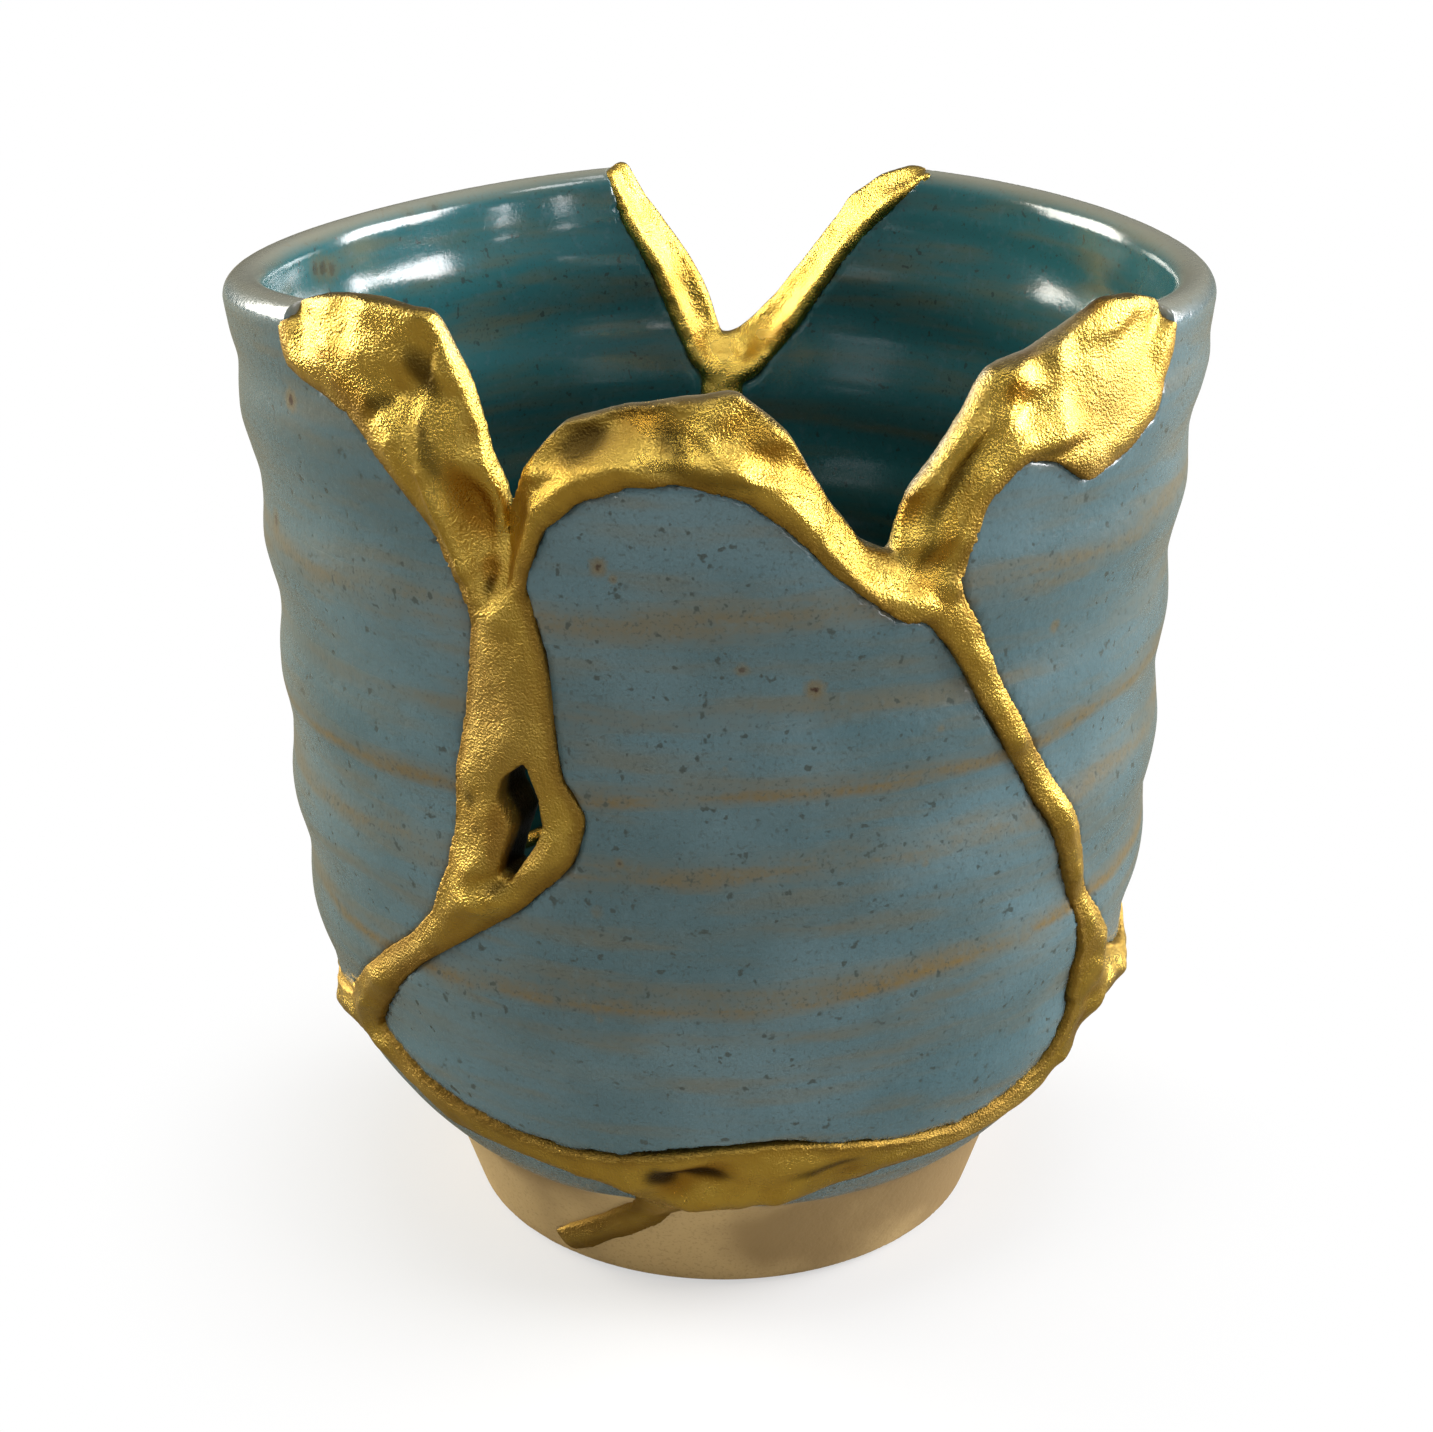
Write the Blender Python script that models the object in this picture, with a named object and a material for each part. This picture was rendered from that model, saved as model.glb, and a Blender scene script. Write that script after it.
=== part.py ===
"""A hand-thrown stoneware mug that was broken and mended with gold lacquer.

The pot is spun as one solid. Every crack is a strip between two border lines on its wall, and every
broken edge is a strip between the edge and the line where bare glaze begins. Each strip is swept twice:
as a cutter, which leaves the four shards, and as the lacquer, which fills the same space less a clearance.

Angles are in degrees round the pot: 0 faces the front (-Y) and 90 faces the right (+X). Heights of
cracks and edges are in percent of the rim's height.
"""

import math

import bmesh
import bpy
from mathutils import Vector
from mathutils.geometry import interpolate_bezier

# Thrown form, in metres
RIM_HEIGHT = 0.0900
RIM_RADIUS = 0.0423
FOOT_HEIGHT = 0.0100
FOOT_RADIUS = 0.0244
FOOT_TOP_RADIUS = 0.0279
FOOT_RING_WIDTH = 0.0050
FOOT_RECESS = 0.0045
FOOT_BEVEL = 0.0006
FLOOR_THICKNESS = 0.0050
FLOOR_FLAT_RADIUS = 0.0100
WALL = 0.0036
HEEL_WALL = 0.0046
HEEL_HEIGHT = 0.0190
RIM_SADDLE = 0.0013
SADDLE_ANGLE = 21.7
SADDLE_START = 0.65
RIDGE_DEPTH = 0.00030
RIDGE_PITCH = 0.0115

# How far the wall has swelled from the foot's top radius to the rim's, at shares of the height between them
WALL_SWELL = (
    (0.031, 0.160),
    (0.075, 0.354),
    (0.138, 0.549),
    (0.250, 0.708),
    (0.438, 0.800),
    (0.650, 0.826),
    (0.850, 0.917),
    (1.000, 1.000),
)

# Lacquer, in metres
CLEARANCE = 0.0003
SEAM_PROUD = 0.0006
COAT = 0.0010
FEATHER = 0.0006
INNER_PROUD = 0.0003
FOOT_CRACK_DEPTH = 0.0030
LUMP_HEIGHT = 0.00025
LUMP_SIZE = 0.0065

# Share of a seam's width that its crack has on the far face of the wall
CRACK_TAPER = 0.30
HOLED_CRACK_TAPER = 0.84

# How much wider than the clearance a cutter is, so that the gap holds at bends and between facets
CUT_EASE = 1.6

# How far a seam sinks at its first stations, where it runs into a broken edge
SEAM_SINK = (0.0024, 0.0006)

# A seam's crown: places across its width, and how proud it stands there as a share of SEAM_PROUD
SEAM_CROWN = ((0.0, 0.35), (0.25, 0.8), (0.5, 1.0), (0.75, 0.8), (1.0, 0.35))

# The coat on a broken edge, from the bare glaze at 1 to the free edge at 0, as shares of COAT
# It is a proud margin on the glaze, then a hollow face that slopes in to the free edge
EDGE_COAT = ((1.0, 0.2), (0.80, 0.35), (0.50, -1.2), (0.20, -2.0), (0.05, -2.2), (0.0, -2.5))
EDGE_LIP = 0.28
EDGE_ROUND = 0.05

# How far up the lip's rounding the lacquer follows it
LIP_LIMIT = 0.8

# Mesh fineness
SPIN_STEPS = 52
WALL_ROWS = 20
INNER_ROWS = 7
BOWL_ROWS = 4
LIP_ROWS = 4
SWEEP_STEP = 0.0042
SHARP_ANGLE = 35.0
SLOPE_REACH = 0.0030

# How far cutters reach past the surfaces that they cut
CUT_MARGIN = 0.0040
CUT_TOP = 112.0

SHARD_NAMES = ("base_shard", "left_shard", "front_shard", "right_shard")

# Finishes
GLAZE_COLOR = (0.15, 0.27, 0.33)
GLAZE_ROUGHNESS = 0.25
GOLD_COLOR = (0.75, 0.50, 0.13)
GOLD_ROUGHNESS = 0.3

# A broken edge: the free edge's angle and height, then those of the line where bare glaze begins
FRONT_EDGE = (
    (-50.6, 100.1, -51.3, 98.2),
    (-46.5, 101.0, -50.6, 94.9),
    (-41.0, 101.5, -45.5, 93.4),
    (-35.5, 101.3, -41.0, 92.2),
    (-31.0, 100.7, -38.2, 90.1),
    (-29.0, 96.2, -34.5, 86.8),
    (-26.8, 91.2, -31.4, 83.2),
    (-24.9, 86.0, -28.9, 79.3),
    (-24.3, 82.6, -27.0, 75.8),
    (-23.8, 81.6, -24.0, 74.2),
    (-23.5, 83.2, -21.2, 78.2),
    (-22.6, 86.8, -20.4, 82.6),
    (-19.0, 90.8, -17.0, 86.2),
    (-14.0, 93.8, -12.0, 88.3),
    (-7.0, 94.0, -6.0, 89.5),
    (-1.0, 95.4, 0.0, 88.6),
    (4.0, 94.4, 4.4, 86.9),
    (9.9, 88.2, 9.0, 83.2),
    (13.6, 83.3, 12.6, 80.6),
    (18.6, 81.1, 17.8, 77.4),
    (19.8, 81.6, 22.6, 75.8),
    (20.6, 85.0, 25.6, 79.6),
    (24.6, 89.4, 27.4, 85.2),
    (29.2, 95.4, 31.6, 88.8),
    (35.0, 96.6, 36.6, 88.6),
    (40.0, 98.2, 41.4, 86.0),
    (44.6, 100.3, 47.4, 87.0),
    (50.0, 100.2, 53.4, 89.8),
    (54.6, 99.2, 55.6, 97.2),
)
BACK_EDGE = (
    (151.5, 101.1, 147.5, 100.4),
    (157.4, 99.4, 153.6, 96.2),
    (161.8, 96.0, 158.0, 93.0),
    (165.4, 91.6, 161.6, 89.4),
    (172.6, 85.0, 168.6, 81.8),
    (177.2, 81.7, 174.0, 77.3),
    (180.2, 81.4, 180.4, 75.3),
    (181.6, 85.6, 186.0, 80.7),
    (184.6, 90.6, 189.0, 87.1),
    (190.0, 96.2, 194.0, 93.6),
    (193.6, 101.1, 197.0, 100.2),
)

# A crack: the angle and height of one border, then those of the other
LEFT_SEAM = (
    (-28.0, 81.0, -21.4, 81.4),
    (-27.6, 74.0, -19.8, 74.6),
    (-28.9, 69.6, -19.3, 69.6),
    (-30.8, 61.6, -18.4, 63.0),
    (-32.4, 54.0, -15.6, 56.6),
    (-36.6, 46.2, -24.0, 49.2),
    (-44.6, 40.8, -38.0, 41.6),
    (-52.4, 35.6, -47.0, 35.0),
    (-61.0, 29.6, -56.4, 27.0),
)
RIGHT_SEAM = (
    (17.6, 78.6, 23.6, 82.2),
    (25.0, 73.6, 28.4, 74.7),
    (32.9, 63.8, 35.0, 65.1),
    (41.5, 53.9, 45.0, 54.2),
    (48.0, 44.4, 50.6, 44.8),
    (51.4, 38.2, 57.0, 38.4),
    (52.0, 32.0, 61.0, 31.4),
)
FRONT_RING = (
    (-61.0, 31.4, -60.0, 26.7),
    (-54.5, 29.1, -54.0, 24.2),
    (-42.5, 24.7, -41.2, 20.2),
    (-30.0, 22.5, -30.0, 19.6),
    (-19.0, 21.7, -18.4, 17.8),
    (-12.0, 22.7, -11.4, 14.6),
    (-3.0, 24.1, -3.2, 14.2),
    (10.0, 24.6, 10.0, 16.4),
    (24.0, 22.6, 24.0, 18.7),
    (36.0, 22.0, 36.0, 19.3),
    (48.0, 24.6, 50.0, 20.9),
    (52.4, 29.6, 59.0, 26.4),
    (53.0, 35.0, 62.5, 32.6),
)
BACK_RING = (
    (57.0, 36.8, 57.0, 27.8),
    (68.0, 32.4, 68.0, 26.4),
    (80.0, 30.2, 80.0, 26.2),
    (100.0, 32.2, 100.0, 28.6),
    (122.0, 29.6, 122.0, 26.0),
    (146.0, 26.0, 146.0, 22.4),
    (168.0, 27.2, 168.0, 23.0),
    (184.0, 29.0, 184.0, 24.2),
    (206.0, 25.3, 206.0, 21.8),
    (230.0, 24.2, 230.0, 20.7),
    (258.0, 25.6, 258.0, 22.0),
    (282.0, 26.6, 282.0, 22.9),
    (291.0, 28.4, 291.0, 24.6),
    (302.0, 30.2, 302.0, 26.3),
)
BACK_SEAM = (
    (176.4, 81.3, 183.8, 81.3),
    (176.2, 73.3, 182.6, 73.6),
    (175.2, 64.4, 180.4, 65.1),
    (178.6, 49.0, 183.2, 49.6),
    (181.2, 38.4, 186.2, 38.8),
    (179.4, 27.0, 186.4, 27.0),
)
FOOT_CRACK = (
    (-14.0, 18.0, -4.0, 17.6),
    (-15.0, 13.0, -8.6, 12.3),
    (-23.4, 8.9, -17.0, 7.5),
    (-37.6, 3.4, -33.0, 1.9),
)
HOLE = (
    (-21.9, 64.3),
    (-25.2, 62.2),
    (-26.2, 59.6),
    (-24.7, 57.4),
    (-27.0, 52.0),
    (-24.8, 51.4),
    (-20.0, 57.2),
    (-20.5, 61.0),
)


def smooth_step(low, high, value):
    """0 at or under low, 1 at or over high, and an S-shaped rise between."""
    t = min(max((value - low) / (high - low), 0.0), 1.0)
    return t * t * (3 - 2 * t)


def spline(keys, share):
    """The point at this share of the way along a Catmull-Rom curve through the keys."""
    place = share * (len(keys) - 1)
    index = min(int(place), len(keys) - 2)
    t = place - index
    before = keys[max(index - 1, 0)]
    start = keys[index]
    end = keys[index + 1]
    after = keys[min(index + 2, len(keys) - 1)]
    return tuple(
        0.5 * (2 * b + (c - a) * t + (2 * a - 5 * b + 4 * c - d) * t**2 + (3 * b - a - 3 * c + d) * t**3)
        for a, b, c, d in zip(before, start, end, after)
    )


def outline():
    """Heights and radii that the outside of the pot passes through, from the ground up."""
    points = [(0.0, FOOT_RADIUS), (FOOT_HEIGHT, FOOT_TOP_RADIUS)]
    for share, swell in WALL_SWELL:
        height = FOOT_HEIGHT + share * (RIM_HEIGHT - FOOT_HEIGHT)
        points.append((height, FOOT_TOP_RADIUS + swell * (RIM_RADIUS - FOOT_TOP_RADIUS)))
    return points


OUTLINE = outline()


def wall_slope_at(index):
    """Slope of the outline at one of its points, from its neighbours."""
    low = OUTLINE[max(index - 1, 0)]
    high = OUTLINE[min(index + 1, len(OUTLINE) - 1)]
    return (high[1] - low[1]) / (high[0] - low[0])


def wall_radius(height):
    """Outer radius at a height, without ridges: a cubic through the outline's points."""
    height = min(max(height, 0.0), RIM_HEIGHT)
    index = 0
    while index < len(OUTLINE) - 2 and height > OUTLINE[index + 1][0]:
        index += 1
    (low, low_radius), (high, high_radius) = OUTLINE[index : index + 2]
    span = high - low
    t = (height - low) / span
    return (
        (2 * t**3 - 3 * t**2 + 1) * low_radius
        + (t**3 - 2 * t**2 + t) * span * wall_slope_at(index)
        + (3 * t**2 - 2 * t**3) * high_radius
        + (t**3 - t**2) * span * wall_slope_at(index + 1)
    )


def inward(height):
    """Unit normal into the wall at a height, as its radial and upward parts."""
    slope = (wall_radius(height + SLOPE_REACH) - wall_radius(height - SLOPE_REACH)) / (2 * SLOPE_REACH)
    length = math.hypot(1.0, slope)
    return -1.0 / length, slope / length


def wall_thickness(height):
    """The wall thickens from the belly down to the heel."""
    thin = smooth_step(HEEL_HEIGHT, HEEL_HEIGHT * 2, height)
    return HEEL_WALL + (WALL - HEEL_WALL) * thin


def ridge(angle, height):
    """Throwing ridges: one spiral groove that climbs the wall and fades towards the foot and the lip."""
    turns = height / RIDGE_PITCH - angle / 360.0
    fade = smooth_step(HEEL_HEIGHT, HEEL_HEIGHT * 1.5, height)
    fade *= 1 - smooth_step(RIM_HEIGHT - 2 * WALL, RIM_HEIGHT - WALL, height)
    return RIDGE_DEPTH * fade * math.cos(2 * math.pi * turns)


def rim_lift(angle, height):
    """The rim is a shallow saddle, higher at the front and the back than at the sides."""
    fade = smooth_step(RIM_HEIGHT * SADDLE_START, RIM_HEIGHT, height)
    return RIM_SADDLE * fade * math.cos(math.radians(2 * angle + SADDLE_ANGLE))


def around(angle, radius, height):
    """A point from its angle round the pot, its radius and its height."""
    turn = math.radians(angle)
    return Vector((radius * math.sin(turn), -radius * math.cos(turn), height))


def lip_inset(angle, height):
    """How far the rounding of the lip draws in the wall's two faces at a height."""
    half = WALL / 2
    centre = RIM_HEIGHT - half + rim_lift(angle, RIM_HEIGHT)
    above = min(max(height - centre, 0.0), half * LIP_LIMIT)
    return half - math.sqrt(half * half - above * above)


def wall_point(angle, height, depth):
    """A point in or near the wall. Its depth is measured square to the outer face, inwards."""
    across, up = inward(height)
    inset = lip_inset(angle, height)
    middle = wall_thickness(height) / 2
    depth = min(depth + inset, middle) if depth < middle else max(depth - inset, middle)
    radius = wall_radius(height) + ridge(angle, height) + across * depth
    return around(angle, radius, height + up * depth)


def new_object(name, builder):
    """Links an object that holds the mesh in this bmesh."""
    bmesh.ops.recalc_face_normals(builder, faces=builder.faces)
    bmesh.ops.triangulate(builder, faces=builder.faces)
    mesh = bpy.data.meshes.new(name)
    builder.to_mesh(mesh)
    builder.free()
    obj = bpy.data.objects.new(name, mesh)
    bpy.context.scene.collection.objects.link(obj)
    return obj


def lip_rows():
    """The rounded lip, from the outer face of the wall over to the inner face."""
    height = RIM_HEIGHT - WALL / 2
    centre = wall_radius(height) - WALL / 2
    rows = []
    for row in range(1, LIP_ROWS):
        turn = math.pi * row / LIP_ROWS
        rows.append((centre + WALL / 2 * math.cos(turn), height + WALL / 2 * math.sin(turn)))
    return rows


def bowl_rows(heel):
    """The curve from the inside of the heel to the flat of the floor."""
    floor = FOOT_RECESS + FLOOR_THICKNESS
    across, up = inward(HEEL_HEIGHT)
    reach = (heel[1] - floor) / 2
    start = Vector((heel[0], heel[1], 0.0))
    down_wall = start + Vector((-up, across, 0.0)) * reach
    end = Vector((FLOOR_FLAT_RADIUS, floor, 0.0))
    along_floor = end + Vector((reach, 0.0, 0.0))
    curve = interpolate_bezier(start, down_wall, along_floor, end, BOWL_ROWS + 1)
    return [(point.x, point.y) for point in curve[1:]] + [(0.0, floor)]


def pot_profile():
    """The pot's half section, from the middle of its underside round the wall to the middle of its floor."""
    ring_inside = FOOT_RADIUS - FOOT_RING_WIDTH
    underside = [
        (0.0, FOOT_RECESS),
        (ring_inside - FOOT_BEVEL * 2, FOOT_RECESS),
        (ring_inside, 0.0),
        (FOOT_RADIUS - FOOT_BEVEL, 0.0),
    ]
    top = RIM_HEIGHT - WALL / 2
    outside = []
    for row in range(WALL_ROWS):
        height = FOOT_BEVEL + (top - FOOT_BEVEL) * row / (WALL_ROWS - 1)
        outside.append((wall_radius(height), height))
    inside = []
    for row in range(INNER_ROWS):
        height = top + (HEEL_HEIGHT - top) * row / (INNER_ROWS - 1)
        across, up = inward(height)
        depth = wall_thickness(height)
        inside.append((wall_radius(height) + across * depth, height + up * depth))
    return underside + outside + lip_rows() + inside + bowl_rows(inside[-1])


def build_pot():
    """The whole pot before it broke: its half section spun round, then ridged and saddled."""
    builder = bmesh.new()
    verts = [builder.verts.new((radius, 0.0, height)) for radius, height in pot_profile()]
    edges = [builder.edges.new(pair) for pair in zip(verts, verts[1:])]
    bmesh.ops.spin(
        builder,
        geom=verts + edges,
        axis=(0, 0, 1),
        cent=(0, 0, 0),
        angle=2 * math.pi,
        steps=SPIN_STEPS,
        use_merge=True,
    )
    bmesh.ops.remove_doubles(builder, verts=builder.verts, dist=1e-6)
    for vert in builder.verts:
        radius = math.hypot(vert.co.x, vert.co.y)
        if vert.co.z > HEEL_HEIGHT and radius > FLOOR_FLAT_RADIUS:
            angle = math.degrees(math.atan2(vert.co.x, -vert.co.y))
            radius += ridge(angle, vert.co.z)
            vert.co = around(angle, radius, vert.co.z + rim_lift(angle, vert.co.z))
    return new_object("pot", builder)


def sweep(name, sections):
    """A closed solid through these sections, made by extruding a face from each to the next."""
    builder = bmesh.new()
    corners = [builder.verts.new(point) for point in sections[0]]
    face = builder.faces.new(corners)
    inner_faces = []
    for section in sections[1:]:
        grown = bmesh.ops.extrude_face_region(builder, geom=[face])["geom"]
        inner_faces.append(face)
        face = next(item for item in grown if isinstance(item, bmesh.types.BMFace))
        next_corners = []
        for corner, point in zip(corners, section):
            edge = next(edge for edge in corner.link_edges if edge.other_vert(corner) in face.verts)
            partner = edge.other_vert(corner)
            partner.co = point
            next_corners.append(partner)
        corners = next_corners
    leftover = [inner for inner in inner_faces[1:] if inner.is_valid]
    bmesh.ops.delete(builder, geom=leftover, context="FACES_ONLY")
    return new_object(name, builder)


def stations(rows):
    """The rows of a crack or a broken edge, smoothed and spaced about one sweep step apart."""
    points = [wall_point(row[0], row[1] / 100 * RIM_HEIGHT, 0.0) for row in rows]
    length = sum((b - a).length for a, b in zip(points, points[1:]))
    count = max(len(rows), round(length / SWEEP_STEP))
    return [spline(rows, index / count) for index in range(count + 1)]


def width_of(station):
    """Distance between a station's two borders, in metres along the wall."""
    angle_a, height_a, angle_b, height_b = station
    point_a = wall_point(angle_a, height_a / 100 * RIM_HEIGHT, 0.0)
    point_b = wall_point(angle_b, height_b / 100 * RIM_HEIGHT, 0.0)
    return (point_b - point_a).length


def side_gap(width, run, rise):
    """The clearance beside a face that leans by this share of a strip's width over this rise."""
    return CLEARANCE * CUT_EASE * math.hypot(run * width, rise) / rise


def lengthened(spaced, gap):
    """The stations with one more at each end, a gap further on."""
    first = tuple(a + (a - b) * gap / SWEEP_STEP for a, b in zip(spaced[0], spaced[1]))
    last = tuple(a + (a - b) * gap / SWEEP_STEP for a, b in zip(spaced[-1], spaced[-2]))
    return [first] + spaced + [last]


def lump(angle, height):
    """Low lumps of lacquer that was laid on by hand."""
    along = math.radians(angle) * RIM_RADIUS / LUMP_SIZE
    up = height / LUMP_SIZE
    return LUMP_HEIGHT * math.sin(2 * along + up) * math.cos(2 * up - along)


def border(station, share):
    """Angle and height at a share of the way across a station."""
    angle = station[0] + (station[2] - station[0]) * share
    return angle, station[1] + (station[3] - station[1]) * share


def strip_point(station, share, depth, inside, shift=(0.0, 0.0)):
    """A point of a strip: share 0 to 1 runs from one border to the other, depth from the shown face."""
    angle, percent = border(station, share)
    height = (percent + shift[1]) / 100 * RIM_HEIGHT
    if inside:
        depth = wall_thickness(height) - depth
    elif depth < 0.0:
        depth -= lump(angle, height)
    return wall_point(angle + shift[0], height, depth)


def aside(spaced, index, share, distance):
    """The shift that carries a strip's line this far square to itself, towards the second border."""
    before = border(spaced[max(index - 1, 0)], share)
    after = border(spaced[min(index + 1, len(spaced) - 1)], share)
    radius = wall_radius(spaced[index][1] / 100 * RIM_HEIGHT)
    run = math.radians(after[0] - before[0]) * radius
    rise = (after[1] - before[1]) / 100 * RIM_HEIGHT
    near = border(spaced[index], 0.0)
    far = border(spaced[index], 1.0)
    across = math.radians(far[0] - near[0]) * radius * rise - (far[1] - near[1]) / 100 * RIM_HEIGHT * run
    scale = distance / math.hypot(run, rise) * math.copysign(1.0, across)
    return math.degrees(rise * scale / radius), -run * scale / RIM_HEIGHT * 100


def thickness_of(station):
    """The wall's thickness under a station's first border."""
    return wall_thickness(station[1] / 100 * RIM_HEIGHT)


def moved_section(spaced, index, lines, inside):
    """A section whose points each lie on a line of the strip that is moved square to itself."""
    section = []
    for share, distance, level in lines:
        shift = aside(spaced, index, share, distance)
        section.append(strip_point(spaced[index], share, level, inside, shift))
    return section


def seam_section(station, taper, inside, depth=None, sink=0.0):
    """Lacquer in a V-shaped crack: crowned where it shows, and narrower on the far face of the wall."""
    far = depth or thickness_of(station) + INNER_PROUD
    lean = (1.0 - taper) / 2 * sink / far
    section = [(lean + share * (1.0 - 2 * lean), sink - SEAM_PROUD * proud) for share, proud in SEAM_CROWN]
    section += [((1.0 + taper) / 2, far), ((1.0 - taper) / 2, far)]
    return [strip_point(station, share, level, inside) for share, level in section]


def seam_cut_section(spaced, index, taper, inside, depth=None):
    """The crack's space: the lacquer's sides, moved out by the clearance and carried past both faces."""
    station = spaced[index]
    far = depth or thickness_of(station)
    slant = (1.0 - taper) / 2
    gap = side_gap(width_of(station), slant, far)
    above = CUT_MARGIN / far * slant
    below = far + (CLEARANCE * CUT_EASE if depth else CUT_MARGIN)
    lines = (
        (-above, -gap, -CUT_MARGIN),
        (1.0 + above, gap, -CUT_MARGIN),
        (1.0 - slant, gap, far),
        (1.0 - slant, gap, below),
        (slant, -gap, below),
        (slant, -gap, far),
    )
    return moved_section(spaced, index, lines, inside)


def edge_section(station, inside):
    """Lacquer on a broken edge: it feathers out on the glaze and is thick and rounded at the free edge."""
    far = thickness_of(station) + INNER_PROUD
    section = [(1.0, FEATHER)]
    section += [(share, -COAT * proud) for share, proud in EDGE_COAT]
    section += [(0.0, far - COAT / 2), (EDGE_ROUND, far), (EDGE_LIP, far)]
    return [strip_point(station, share, level, inside) for share, level in section]


def edge_cut_section(spaced, index, inside):
    """What is missing above a broken edge, and the slope that its lacquer covers."""
    station = spaced[index]
    far = thickness_of(station)
    outer_gap = CLEARANCE * CUT_EASE
    inner_gap = side_gap(width_of(station), 1.0 - EDGE_LIP, far - FEATHER)
    lines = (
        (1.0, outer_gap, -CUT_MARGIN),
        (1.0, outer_gap, FEATHER + outer_gap),
        (EDGE_LIP, inner_gap, far),
        (EDGE_LIP, inner_gap, far + CUT_MARGIN),
    )
    section = moved_section(spaced, index, lines, inside)
    top = (station[0], CUT_TOP, station[0], CUT_TOP)
    section.append(strip_point(top, 0.0, far + CUT_MARGIN, inside))
    section.append(strip_point(top, 0.0, -CUT_MARGIN, inside))
    return section


def build_seam(name, rows, taper=CRACK_TAPER, inside=False, depth=None, sinks=()):
    """The lacquer in a crack, and the cutter that opens the crack."""
    spaced = stations(rows)
    sinks = sinks + (0.0,) * (len(spaced) - len(sinks))
    sections = [seam_section(row, taper, inside, depth, sink) for row, sink in zip(spaced, sinks)]
    lacquer = sweep(name, sections)
    longer = lengthened(spaced, 2 * CLEARANCE * CUT_EASE)
    sections = [seam_cut_section(longer, index, taper, inside, depth) for index in range(len(longer))]
    cutter = sweep(name + "_cut", sections)
    return lacquer, cutter


def build_edge(name, rows, inside=False):
    """The lacquer along a broken edge, and the cutter that breaks the edge off."""
    spaced = stations(rows)
    lacquer = sweep(name, [edge_section(row, inside) for row in spaced])
    longer = lengthened(spaced, 2 * CLEARANCE * CUT_EASE)
    cutter = sweep(name + "_cut", [edge_cut_section(longer, index, inside) for index in range(len(longer))])
    return lacquer, cutter


def build_hole():
    """The cutter for the hole that the lacquer leaves in the left seam."""
    loops = []
    for depth in (-CUT_MARGIN, WALL + CUT_MARGIN):
        loops.append([wall_point(angle, height / 100 * RIM_HEIGHT, depth) for angle, height in HOLE])
    return sweep("hole_cut", loops)


def combine(target, others, operation):
    """Joins the others to the target or cuts them from it, and leaves only the target."""
    for other in others:
        modifier = target.modifiers.new(other.name, "BOOLEAN")
        modifier.operation = operation
        modifier.object = other
        modifier.solver = "EXACT"
        modifier.use_self = True
    mesh = bpy.data.meshes.new_from_object(target.evaluated_get(bpy.context.evaluated_depsgraph_get()))
    target.modifiers.clear()
    target.data = mesh
    for other in others:
        bpy.data.objects.remove(other, do_unlink=True)


def island_of(start):
    """The faces that join on to one face."""
    island = {start}
    to_visit = [start]
    while to_visit:
        face = to_visit.pop()
        for edge in face.edges:
            for neighbour in edge.link_faces:
                if neighbour not in island:
                    island.add(neighbour)
                    to_visit.append(neighbour)
    return island


def middle_of(obj):
    """The middle of an object's box."""
    corners = [Vector(corner) for corner in obj.bound_box]
    return sum(corners, Vector()) / len(corners)


def split_shards(pot):
    """Parts the broken pot into its shards, and names them by where they sit."""
    whole = bmesh.new()
    whole.from_mesh(pot.data)
    shards = []
    while whole.faces:
        whole.faces.ensure_lookup_table()
        piece = whole.copy()
        piece.faces.ensure_lookup_table()
        whole.faces.index_update()
        kept = {face.index for face in island_of(whole.faces[0])}
        others = [face for face in piece.faces if face.index not in kept]
        bmesh.ops.delete(piece, geom=others, context="FACES")
        taken = [face for face in whole.faces if face.index in kept]
        bmesh.ops.delete(whole, geom=taken, context="FACES")
        shards.append(new_object("shard", piece))
    whole.free()
    bpy.data.objects.remove(pot, do_unlink=True)
    shards.sort(key=lambda shard: middle_of(shard).z)
    around_pot = sorted(shards[1:], key=lambda shard: middle_of(shard).x)
    for shard, name in zip([shards[0]] + around_pot, SHARD_NAMES, strict=True):
        shard.name = name
    return [shards[0]] + around_pot


def principled(name, color, roughness, metallic):
    """A plain material with a colour, a roughness and a metallic value."""
    material = bpy.data.materials.new(name)
    material.use_nodes = True
    shader = material.node_tree.nodes["Principled BSDF"]
    shader.inputs["Base Color"].default_value = (*color, 1.0)
    shader.inputs["Roughness"].default_value = roughness
    shader.inputs["Metallic"].default_value = metallic
    return material


def finish(obj, material):
    """Gives a piece its one material, and shades its round faces smooth."""
    obj.data.materials.clear()
    obj.data.materials.append(material)
    obj.data.shade_smooth()
    obj.data.set_sharp_from_angle(angle=math.radians(SHARP_ANGLE))


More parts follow.
